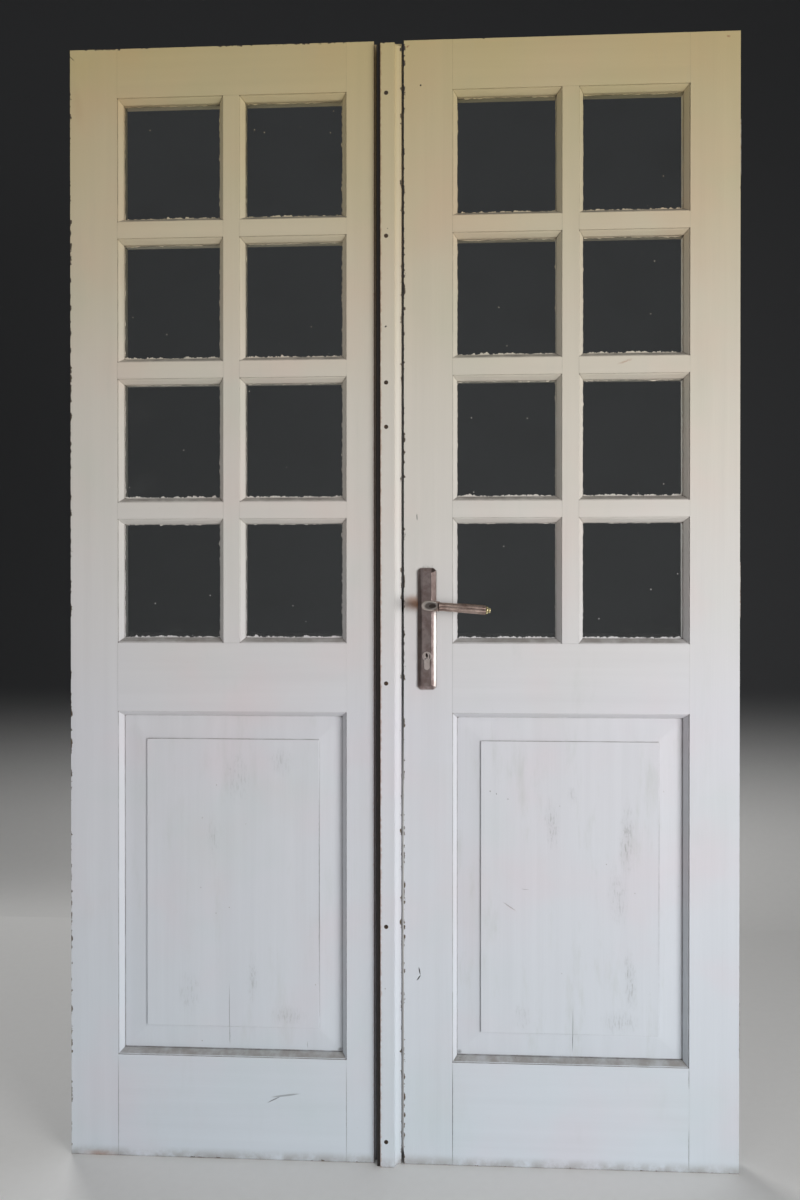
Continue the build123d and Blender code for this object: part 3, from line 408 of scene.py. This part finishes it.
def marks_on(tree, place, marks, ragged, core, face=front):
    """All the marks of one kind on a face: each is x, z, half width, half height, turn, strength."""
    mask = 0.0
    for x, z, half_width, half_height, turn, strength in marks:
        mask = use(tree, mark, {
            "Before": mask, "Place": place, "Centre": (x, face, z), "Size": (half_width, 0.02, half_height),
            "Turn": math.radians(turn), "Ragged": ragged, "Core": core, "Strength": strength,
        })["Mask"]
    return mask


def chips_on(tree, place, edges):
    """All the chipped arrises: each is a point on it, its weights, reach and share."""
    mask = 0.0
    for edge, weigh, reach, share in edges:
        mask = use(tree, chipped_edge, {
            "Before": mask, "Place": place, "Edge": edge, "Weigh": weigh, "Reach": reach, "Share": share,
        })["Mask"]
    return mask


def painted(name, grain, stains=(), scuffs=(), cracks=(), chips=(), mildew=0.0, face=front):
    """Old white brush paint on timber in painted light, with the wear and painted shade of one piece."""
    material, tree, shader, place = new_material(name)
    brush = use(tree, brush_marks, {"Place": place, "Stretch": grain})
    colour = use(tree, old_white_and_light, {"Place": place})["Colour"]
    colour = mixed(tree, 1.0, colour, between(tree, brush["Tone"], 0.95, 1.05), "MULTIPLY")
    damp = use(tree, damp_streaks, {"Place": place, "Amount": 0.07 + mildew})["Mask"]
    colour = mixed(tree, damp, colour, damp_green)

    facing = add(tree, "TexCoord").outputs["Normal"]
    # Painted shade and grime in the creases and hollows, found by how open each point is.
    openness = add(tree, "AmbientOcclusion", {"Distance": 0.0032}, samples=8).outputs["AO"]
    dirt_and_shade = use(tree, settled_dirt_and_shade, {"Place": place, "Facing": facing, "Openness": openness})
    colour = mixed(tree, dirt_and_shade["Dust"], colour, dust_grey)
    colour = mixed(tree, maths(tree, "MULTIPLY", dirt_and_shade["GrimeAndShade"], 0.88), colour, grime_and_shade_brown)
    dots = use(tree, specks, {"Place": place, "Spacing": 38.0, "Radius": 0.045, "Share": 0.24})["Mask"]
    colour = mixed(tree, maths(tree, "MULTIPLY", dots, 0.75), colour, speck_brown)

    colour = mixed(tree, marks_on(tree, place, stains, 0.006, 0.0, face), colour, stain_and_shadow_brown)
    dashes = use(tree, rub_lines, {"Place": place})["Mask"]
    scuffed = maths(tree, "MULTIPLY", marks_on(tree, place, scuffs, 0.010, 0.0, face), dashes)
    colour = mixed(tree, scuffed, colour, scuff_grey)
    # Cracks, and lines of painted shade in narrow grooves.
    split_and_shade = marks_on(tree, place, cracks, 0.0012, 0.6, face)
    colour = mixed(tree, split_and_shade, colour, crack_and_shade_black)
    bare = chips_on(tree, place, chips)
    colour = mixed(tree, bare, colour, use(tree, bare_wood, {"Place": place})["Colour"])
    wire(tree, shader.inputs["Base Color"], colour)

    dull = maths(tree, "MAXIMUM", bare, maths(tree, "MULTIPLY", dirt_and_shade["GrimeAndShade"], 0.6))
    gloss = between(tree, brush["Tone"], 0.36, 0.58)
    wire(tree, shader.inputs["Roughness"], maths(tree, "MULTIPLY_ADD", dull, 0.35, gloss))
    height = maths(tree, "MULTIPLY", brush["Height"], 0.22)
    sunk = maths(tree, "MULTIPLY", maths(tree, "MAXIMUM", bare, split_and_shade), 0.8)
    height = maths(tree, "SUBTRACT", height, sunk)
    bump = add(tree, "Bump", {"Height": height, "Distance": 0.0012, "Strength": 0.55})
    wire(tree, shader.inputs["Normal"], bump.outputs[0])
    return material


def soften(node, width):
    """Rounds the arrises of a piece a little, as paint and wear do."""
    weld = node.modifiers.new("weld", "WELD")
    weld.merge_threshold = 0.00001
    round_over = node.modifiers.new("round_over", "BEVEL")
    round_over.width = width
    round_over.segments = 2
    round_over.limit_method = "ANGLE"
    round_over.angle_limit = math.radians(32)
    round_over.use_clamp_overlap = True


def finish_piece(name, material, arris=0.0):
    """Gives a piece its finish, and rounds its arrises where a width is given."""
    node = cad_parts[name]
    node.material_slots[0].material = material
    if arris:
        soften(node, arris)


def paint_piece(name, grain, arris=painted_arris, **wear):
    """Paints a piece of timber, with its own wear."""
    finish_piece(name, painted(f"{name}_paint", grain, **wear), arris)


def edge_chips(name, side, reach, share, y=front):
    """Chips along an upright arris of a piece, on its left (0) or right (1) side."""
    return (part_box(name)[side][0], y, 0.0), upright_edge, reach, share


def head_chips(reach, share):
    """Chips along the head of a leaf."""
    return (0.0, front, leaf_height), level_edge, reach, share


foot_chips = ((0.0, front, 0.0), level_edge, 0.004, 0.5)

# Each mark below is x, z, half width, half height, turn in degrees and strength. Here they are
# brown damp at the foot and the head, and a split across the top corner.
paint_piece(
    "left_hinge_stile", upright_grain,
    stains=[(-0.556, 0.003, 0.044, 0.008, 0, 0.4), (-0.594, 1.94, 0.012, 0.05, 6, 0.12)],
    cracks=[(-0.6065, 2.0265, 0.010, 0.0007, -42, 0.9)],
    chips=[edge_chips("left_hinge_stile", 0, 0.0034, 0.62),
           edge_chips("left_hinge_stile", 0, 0.0026, 0.5, back),
           head_chips(0.003, 0.62), foot_chips],
)

# A dark line all the way up beside the cover strip: the strip's shadow, painted in brown and black.
paint_piece(
    "left_meeting_stile", upright_grain,
    stains=[(strip_low[0] - 0.0040, leaf_middle, 0.0045, whole_height, 0, 0.6)],
    cracks=[(strip_low[0] - 0.0012, leaf_middle, 0.0034, whole_height, 0, 0.85)],
    chips=[head_chips(0.003, 0.62), foot_chips,
           edge_chips("left_meeting_stile", 1, 0.003, 0.5),
           edge_chips("left_meeting_stile", 1, 0.0028, 0.58, back)],
)

# A soft brown patch round the lever's hub, a small stain at the head, a hole near the top, a
# hooked scratch low down and a short one above the plate, and paint rubbed thin over the plate.
paint_piece(
    "right_meeting_stile", upright_grain,
    stains=[(0.028, 1.0215, 0.029, 0.0180, 0, 0.82), (0.036, 1.0195, 0.021, 0.0140, 0, 1.0),
            (0.0147, 2.0285, 0.0045, 0.0026, 20, 1.0)],
    cracks=[(0.0385, 1.9584, 0.0019, 0.0019, 0, 1.0), (0.0368, 0.3522, 0.0012, 0.0075, 12, 1.0),
            (0.0352, 0.3400, 0.0011, 0.0062, -34, 1.0), (0.032, 1.1772, 0.0009, 0.0065, 4, 0.8)],
    scuffs=[(0.050, 1.0868, 0.0130, 0.0036, 0, 0.8)],
    chips=[edge_chips("right_meeting_stile", 0, 0.0032, 0.66),
           edge_chips("right_meeting_stile", 0, 0.0028, 0.6, back),
           head_chips(0.0018, 0.40), foot_chips],
)

# A small brown stain near the top corner.
paint_piece(
    "right_hinge_stile", upright_grain,
    stains=[(0.5874, 2.031, 0.0042, 0.0022, -15, 0.9)],
    chips=[edge_chips("right_hinge_stile", 1, 0.0022, 0.40),
           edge_chips("right_hinge_stile", 1, 0.0026, 0.5, back),
           head_chips(0.0018, 0.40), foot_chips],
)


# Rails. Three level timbers a leaf, tenoned into the stiles: a 90 mm top rail, a 126 mm lock
# rail and a 187 mm bottom rail, all with the same moulding worked on the edges they show. The
# paint has cracked along the joints at the foot.
inner_joint = 0.0967
outer_joint = 0.5198

paint_piece("left_top_rail", level_grain, chips=[head_chips(0.003, 0.6)])
paint_piece("right_top_rail", level_grain, chips=[head_chips(0.0018, 0.40)])
paint_piece("left_lock_rail", level_grain)
paint_piece("right_lock_rail", level_grain, mildew=0.06)

# Cracked paint at both joints, and two long scratches.
paint_piece(
    "left_bottom_rail", level_grain,
    cracks=[(-outer_joint, 0.085, 0.0006, 0.092, 0, 0.55), (-inner_joint, 0.090, 0.0006, 0.094, 0, 0.6),
            (-0.230, 0.111, 0.015, 0.0012, 27, 0.6), (-0.209, 0.119, 0.028, 0.0020, 8, 0.42)],
    chips=[foot_chips],
)

# Cracked paint at both joints, and a scuff at the corner of the panel.
paint_piece(
    "right_bottom_rail", level_grain,
    scuffs=[(0.1100, 0.194, 0.030, 0.009, 12, 0.85)],
    cracks=[(inner_joint, 0.090, 0.0007, 0.095, 0, 0.8), (outer_joint, 0.168, 0.0006, 0.020, 0, 0.7),
            (outer_joint, 0.040, 0.0006, 0.042, 0, 0.7)],
    chips=[foot_chips],
)


# Glazing bars. One upright bar a leaf in a single length, and six short cross bars stub
# tenoned into it and into the stiles, 30 mm wide on the flat between the mouldings.
paint_piece("left_upright_bar", upright_grain, cracks=[(-0.3297, 1.200, 0.0008, 0.0065, 5, 0.8)])
paint_piece("right_upright_bar", upright_grain)
paint_piece("left_cross_bars", level_grain)
paint_piece("right_cross_bars", level_grain, stains=[(0.405, 1.4545, 0.017, 0.0026, 20, 0.5)])


# Panels. One raised and fielded panel a leaf, held loose by its tongue in the groove of the
# frame: a flat field with a small square step round it, then a wide low bevel down to the
# groove. Layers of old paint have filled the mitres of the bevel.
panel_middle = 0.30825
field_middle = 0.5045
field_foot = 0.2386
field_line = 0.0008

# Rubbed patches, the split joint of two boards at the foot, dirt in the right-hand corners, and
# a dark line along the field's right and lower edges.
paint_piece(
    "left_panel", upright_grain,
    scuffs=[(-0.300, 0.700, 0.030, 0.060, 0, 0.42), (-0.345, 0.590, 0.014, 0.050, 2, 0.38),
            (-0.218, 0.730, 0.030, 0.034, 0, 0.42), (-0.272, 0.330, 0.014, 0.060, 0, 0.48),
            (-0.390, 0.300, 0.030, 0.050, 0, 0.36), (-0.205, 0.262, 0.040, 0.022, 0, 0.52)],
    cracks=[(-0.3147, 0.262, 0.0006, 0.068, 0, 0.6), (-0.3150, 0.219, 0.0006, 0.026, 0, 0.9),
            (-0.1702, 0.206, 0.0006, 0.010, 0, 0.8), (-0.1095, 0.1995, 0.008, 0.005, 20, 0.65),
            (-0.1065, 0.8125, 0.004, 0.004, 0, 0.6),
            (-0.1480, field_middle, field_line, 0.270, 0, 0.5),
            (-panel_middle, field_foot, 0.162, field_line, 0, 0.6)],
    mildew=0.08,
)

# The same, with more rubbing and mildew, three pinholes, two long scratches, and the dirt in
# the left-hand corners.
paint_piece(
    "right_panel", upright_grain,
    stains=[(0.201, 0.468, 0.019, 0.0022, -34, 0.30)],
    scuffs=[(0.276, 0.620, 0.016, 0.060, 3, 0.62), (0.314, 0.672, 0.012, 0.022, 0, 0.42),
            (0.411, 0.593, 0.017, 0.085, -2, 0.80), (0.395, 0.490, 0.022, 0.070, 4, 0.50),
            (0.417, 0.337, 0.014, 0.070, 3, 0.80), (0.400, 0.262, 0.045, 0.030, 0, 0.50),
            (0.222, 0.268, 0.020, 0.032, 0, 0.45)],
    cracks=[(0.3144, 0.245, 0.0006, 0.048, 0, 0.6), (0.3146, 0.222, 0.0007, 0.028, 0, 0.9),
            (0.1647, 0.6788, 0.0012, 0.0012, 0, 0.9), (0.176, 0.674, 0.0010, 0.0014, 0, 0.8),
            (0.1971, 0.6649, 0.0013, 0.0010, 0, 0.9), (0.1990, 0.4700, 0.016, 0.0008, -34, 0.5),
            (0.228, 0.5010, 0.008, 0.0007, -4, 0.4), (0.1090, 0.2000, 0.007, 0.007, 0, 0.65),
            (0.1065, 0.8120, 0.003, 0.003, 0, 0.6),
            (0.4685, field_middle, field_line, 0.270, 0, 0.5),
            (panel_middle, field_foot, 0.162, field_line, 0, 0.65)],
    mildew=0.20,
)
for side in ("left", "right"):
    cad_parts[f"{side}_panel"].modifiers.new("paint_filled_mitres", "WEIGHTED_NORMAL")


# Glass. Eight panes of 4 mm clear sheet a leaf, bedded in the rebates from the back. Where the
# bars were painted, ragged white paint has run on to the edges of the glass.
panes = range(1, 9)
rebate_cover = 0.010
film = 0.0003
film_step = 0.15
film_shoulder = 0.75
film_points = 120
film_waves = (1.3, 3.1, 7.7, 15.0)
drop_points = 8
clean_glass = (0.90, 0.93, 0.92, 1)
smeared_glass = (0.78, 0.80, 0.78, 1)


def clear_glass():
    """Clear sheet glass with a faint green tint and wiped smudges."""
    material, tree, shader, place = new_material("clear_glass")
    wiped = vectors(tree, "MULTIPLY", place, (9.0, 9.0, 14.0))
    smear = soft_step(tree, noise(tree, wiped, 1.0, 6.0, 0.7), 0.45, 0.8)
    wire(tree, shader.inputs["Base Color"], mixed(tree, smear, clean_glass, smeared_glass))
    wire(tree, shader.inputs["Roughness"], between(tree, smear, 0.01, 0.11))
    shader.inputs["IOR"].default_value = 1.5
    shader.inputs["Transmission Weight"].default_value = 1.0
    return material


glass = clear_glass()
for side in ("left", "right"):
    for pane in panes:
        finish_piece(f"{side}_pane_{pane}", glass)


def ragged_widths(draw, least, most):
    """Uneven widths along a brushed edge: slow waves, small teeth and a few blobs."""
    phases = [draw.uniform(0, 2 * math.pi) for _ in film_waves]
    widths = []
    for i in range(film_points):
        along = i / (film_points - 1)
        waves = [math.sin(2 * math.pi * along * count + phase) for count, phase in zip(film_waves, phases)]
        share = 0.5 + 0.14 * sum(waves) + draw.uniform(-0.30, 0.30)
        share = min(max(share, 0.0), 1.0)
        widths.append(least + (most - least) * share ** 1.4)
    for _ in range(draw.randint(1, 3)):
        centre, swell = draw.randint(2, film_points - 3), draw.uniform(0.2, 0.5) * most
        for i in range(max(centre - 2, 0), min(centre + 3, film_points)):
            widths[i] += swell * math.cos((i - centre) * math.pi / 6)
    return widths


def paint_run(work, start, along, inward, length, widths, y, thickness):
    """One ragged strip of paint film on the glass, along one side of a pane."""
    rows = []
    for i, width in enumerate(widths):
        base = start + along * (length * i / (len(widths) - 1))
        shoulder = width * film_shoulder
        rows.append([
            work.verts.new((base.x, y - thickness, base.z)),
            work.verts.new((base.x + inward.x * shoulder, y - thickness, base.z + inward.z * shoulder)),
            work.verts.new((base.x + inward.x * width, y, base.z + inward.z * width)),
        ])
    for first, second in zip(rows, rows[1:]):
        for k in range(2):
            work.faces.new((first[k], second[k], second[k + 1], first[k + 1]))


def paint_drop(work, draw, centre, radius, y):
    """A small drop of paint, dried on the glass as a low dome."""
    ring = []
    for i in range(drop_points):
        turn = 2 * math.pi * i / drop_points
        reach = radius * draw.uniform(0.75, 1.15)
        x, z = centre[0] + reach * math.cos(turn), centre[1] + reach * math.sin(turn)
        ring.append(work.verts.new((x, y, z)))
    top = work.verts.new((centre[0], y - film, centre[1]))
    for first, second in zip(ring, ring[1:] + ring[:1]):
        work.faces.new((first, second, top))


def paint_on_glass(side, seed):
    """The paint that has run on to the front of a leaf's panes, each run a little thicker."""
    draw = random.Random(seed)
    work = bmesh.new()
    right, up = Vector((1, 0, 0)), Vector((0, 0, 1))
    for pane in panes:
        low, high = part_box(f"{side}_pane_{pane}")
        x0, x1 = low[0] + rebate_cover, high[0] - rebate_cover
        z0, z1 = low[2] + rebate_cover, high[2] - rebate_cover
        y = low[1]
        runs = [
            (Vector((x0, y, z0)), right, up, x1 - x0, 0.0012, 0.0052),
            (Vector((x0, y, z1)), right, -up, x1 - x0, 0.0004, 0.0026),
            (Vector((x0, y, z0)), up, right, z1 - z0, 0.0004, 0.0018),
            (Vector((x1, y, z0)), up, -right, z1 - z0, 0.0005, 0.0026),
        ]
        for k, (start, along, inward, length, least, most) in enumerate(runs):
            widths = ragged_widths(draw, least, most)
            paint_run(work, start, along, inward, length, widths, y, film * (1 + film_step * k))
        for _ in range(draw.randint(2, 5)):
            centre = (draw.uniform(x0 + 0.006, x1 - 0.006), z0 + (z1 - z0) * draw.uniform(0.02, 0.98) ** 2)
            paint_drop(work, draw, centre, draw.uniform(0.0004, 0.0012), y)
    bmesh.ops.recalc_face_normals(work, faces=work.faces)
    mesh = bpy.data.meshes.new(f"{side}_paint_on_glass")
    work.to_mesh(mesh)
    work.free()
    piece = bpy.data.objects.new(f"{side}_paint_on_glass", mesh)
    bpy.context.collection.objects.link(piece)
    return piece


run_paint = painted("paint_run_finish", upright_grain)
for side, seed in (("left", 11), ("right", 23)):
    paint = paint_on_glass(side, seed)
    paint.data.materials.append(run_paint)
    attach(paint, f"{side}_leaf")


# Glazing beads. Four mitred sticks a pane hold the glass from the back, pinned in the rebate
# and painted with the rest.
for side in ("left", "right"):
    paint_piece(f"{side}_glazing_beads", level_grain)


# Cover strip. A moulded strip screwed to the meeting stile of the left leaf, over the joint
# between the leaves. Its rounded edge is chipped, and painted shade darkens its left shoulder.
paint_piece(
    "cover_strip", upright_grain, arris=0.0, face=strip_low[1],
    stains=[(strip_low[0] + 0.0062, leaf_middle, 0.0022, whole_height, 0, 0.6)],
    cracks=[(-0.024, 1.5198, 0.0022, 0.0016, 30, 0.9),
            (strip_low[0] + 0.0024, leaf_middle, 0.0042, whole_height, 0, 1.0)],
    chips=[((strip_high[0], strip_high[1] - 0.010, 0.0), upright_edge, 0.0034, 0.55),
           ((strip_low[0], strip_low[1] + 0.003, 0.0), upright_edge, 0.002, 0.4),
           ((0.0, strip_low[1], strip_high[2]), level_edge, 0.002, 0.5)],
)


# Hinges. Three steel butt hinges a leaf: one flap let into the leaf's edge, one for the frame,
# and a pin through the five knuckles. The steel is dull, with brown rust and old paint on it.
hinge_arris = 0.0003
upright_polish = (300.0, 300.0, 12.0)
rust_brown = (0.16, 0.07, 0.03, 1)
metal_dirt_and_shade = (0.03, 0.022, 0.018, 1)
# Painted highlight and painted shade, laid on places of a face.
painted_highlight_white = (0.96, 0.90, 0.84, 1)
painted_shade_dark = (0.034, 0.019, 0.013, 1)


def make_metal_wear():
    """Uneven tarnish, spots of rust, and the dirt and painted shade in the hollows of a metal fitting."""
    takes = {"Place": "Vector", "Openness": "Float", "Clean": "Float", "Rusty": "Float", "Rust": "Float"}
    gives = {"Tarnish": "Float", "Spots": "Float", "DirtAndShade": "Float"}
    group, takes, gives = effect("metal_wear", takes, gives)
    cloud = noise(group, takes["Place"], 55.0, 5.0, 0.65)
    wire(group, gives["Tarnish"], soft_step(group, cloud, 0.35, 0.7))
    grain = noise(group, takes["Place"], 170.0, 5.0, 0.7)
    spots = soft_step(group, grain, takes["Clean"], takes["Rusty"])
    wire(group, gives["Spots"], maths(group, "MULTIPLY", spots, takes["Rust"]))
    # Painted shade: darker where the hollows close in, laid on with the dirt there.
    hollow = soft_step(group, takes["Openness"], 0.85, 0.35)
    wire(group, gives["DirtAndShade"], maths(group, "MULTIPLY", hollow, 0.85))
    return group


metal_wear = make_metal_wear()


def worn_metal(name, clean, tarnished, roughness, polish=upright_polish, rust=0.0, metallic=1.0,
               painted_highlights=(), painted_shade=(), face=front):
    """Metal that has dulled unevenly, with fine lines from its polishing, dirt and painted shade in
    its hollows, and perhaps some rust, and painted highlights and painted shade on a face."""
    material, tree, shader, place = new_material(name)
    openness = add(tree, "AmbientOcclusion", {"Distance": 0.003}, samples=8).outputs["AO"]
    wear = use(tree, metal_wear, {
        "Place": place, "Openness": openness,
        "Clean": 0.62 - 0.2 * rust, "Rusty": 0.72 - 0.2 * rust, "Rust": min(rust * 1.6, 1.0),
    })
    lines = use(tree, brush_marks, {"Place": place, "Stretch": polish})["Height"]
    uneven = between(tree, lines, roughness - 0.08, roughness + 0.08)
    uneven = maths(tree, "MULTIPLY_ADD", wear["Tarnish"], 0.10, uneven)
    colour = mixed(tree, wear["Tarnish"], clean, tarnished)
    if rust:
        colour = mixed(tree, wear["Spots"], colour, rust_brown)
        uneven = maths(tree, "MULTIPLY_ADD", wear["Spots"], 0.3, uneven)
        wire(tree, shader.inputs["Metallic"], between(tree, wear["Spots"], metallic, 0.3 * metallic))
    else:
        shader.inputs["Metallic"].default_value = metallic
    # Dirt and painted shade in the hollows.
    colour = mixed(tree, wear["DirtAndShade"], colour, metal_dirt_and_shade)
    # Painted highlights on a face.
    colour = mixed(tree, marks_on(tree, place, painted_highlights, 0.0006, 0.8, face), colour, painted_highlight_white)
    # Painted shade on a face.
    colour = mixed(tree, marks_on(tree, place, painted_shade, 0.0010, 0.7, face), colour, painted_shade_dark)
    wire(tree, shader.inputs["Base Color"], colour)
    wire(tree, shader.inputs["Roughness"], uneven)
    bump = add(tree, "Bump", {"Height": lines, "Distance": 0.0002, "Strength": 0.35})
    wire(tree, shader.inputs["Normal"], bump.outputs[0])
    return material


hinge_steel = worn_metal("hinge_steel_finish", (0.46, 0.44, 0.41, 1), (0.24, 0.21, 0.18, 1), 0.42, rust=0.5)
for side in ("left", "right"):
    for part in ("leaf_hinges", "frame_hinges", "hinge_pins"):
        finish_piece(f"{side}_{part}", hinge_steel, hinge_arris)


# Screws. Countersunk steel wood screws through the hinges, plates and cover strip. They have
# rusted dark, and seven of them sit in dark holes in the strip.
screw_steel = worn_metal(
    "screw_steel_finish", (0.10, 0.07, 0.05, 1), (0.05, 0.035, 0.028, 1), 0.55, rust=0.4, metallic=0.6,
)
for side in ("left", "right"):
    finish_piece(f"{side}_screws", screw_steel)


# Strike plate and flush bolts. Plain steel fittings let into the left leaf's meeting edge: the
# plate takes the lock's bolts, and a bolt at the top and at the bottom holds the leaf shut.
fitting_arris = 0.0002
lock_steel = worn_metal("lock_steel_finish", (0.55, 0.54, 0.51, 1), (0.34, 0.32, 0.29, 1), 0.36, rust=0.3)
for name in ("strike_plate", "top_flush_case", "bottom_flush_case", "top_flush_bolt", "bottom_flush_bolt"):
    finish_piece(name, lock_steel, fitting_arris)


# Mortise lock. A folded steel case with its face plate in the right leaf's meeting edge, and in
# it the latch bolt, the dead bolt, the follower and the square spindle of the levers.
for name in ("lock_case", "latch_bolt", "dead_bolt", "follower", "spindle"):
    finish_piece(name, lock_steel, fitting_arris)


# Cylinder. A brass lock cylinder with its turning plug and cam, paler than the plates and
# almost flush with them. The keyway is darkened with painted shade.
turned_arris = 0.0001
pale_brass = (0.86, 0.76, 0.72, 1)
dull_brass = (0.68, 0.58, 0.54, 1)
cylinder_brass = worn_metal("cylinder_brass_finish", pale_brass, dull_brass, 0.40)
finish_piece("cylinder_body", cylinder_brass, turned_arris)
finish_piece("cylinder_plug", worn_metal(
    "cylinder_plug_finish", pale_brass, dull_brass, 0.40, face=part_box("cylinder_plug")[0][1],
    # Painted shade in the keyway.
    painted_shade=[(0.0500, 0.9270, 0.0024, 0.0042, 8, 1.0), (0.0555, 0.9245, 0.0012, 0.0055, 0, 0.9),
          (0.0470, 0.9205, 0.0022, 0.0010, 30, 0.8)],
), turned_arris)


# Handle plates and levers. Cast brass with a grey-brown satin finish gone dark with age: a
# bevelled plate outside and inside, and on each a lever with a reeded grip. A painted highlight
# lies low on the plate's right bevel and round the lever's elbow, and painted shade darkens the
# plate's bevels and the dish of the elbow.
handle_metal = worn_metal(
    "handle_metal_finish", (0.56, 0.46, 0.44, 1), (0.33, 0.25, 0.235, 1), 0.31,
    polish=(420.0, 420.0, 20.0), face=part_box("outside_plate")[0][1],
    painted_highlights=[(0.0648, 0.9400, 0.0024, 0.080, 0, 0.95)],
    painted_shade=[(0.0630, 1.0560, 0.0060, 0.056, 0, 0.78), (0.0598, 0.9450, 0.0030, 0.090, 0, 0.5),
          (0.0365, 0.9745, 0.0050, 0.125, 0, 0.65)],
)
for name in ("outside_plate", "inside_plate"):
    finish_piece(name, handle_metal, fitting_arris)
lever_metal = worn_metal(
    "lever_metal_finish", (0.58, 0.45, 0.39, 1), (0.29, 0.205, 0.175, 1), 0.30,
    polish=(30.0, 300.0, 300.0), face=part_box("outside_lever")[0][1],
    painted_highlights=[(0.0553, 1.0170, 0.0150, 0.0098, 4, 0.62)],
    painted_shade=[(0.0570, 1.0166, 0.0112, 0.0066, 4, 0.72), (0.0605, 1.0163, 0.0080, 0.0046, 4, 0.9),
          (0.0712, 1.0155, 0.0012, 0.0085, 4, 0.9)],
)
for name in ("outside_lever", "inside_lever"):
    finish_piece(name, lever_metal, fitting_arris)


# Lever end caps. A small turned brass cap with two beads closes each grip, pressed on over its
# end. Touch keeps it bright.
cap_brass = worn_metal("cap_brass_finish", (0.95, 0.84, 0.50, 1), (0.84, 0.70, 0.36, 1), 0.16)
finish_piece("lever_end_caps", cap_brass, turned_arris)
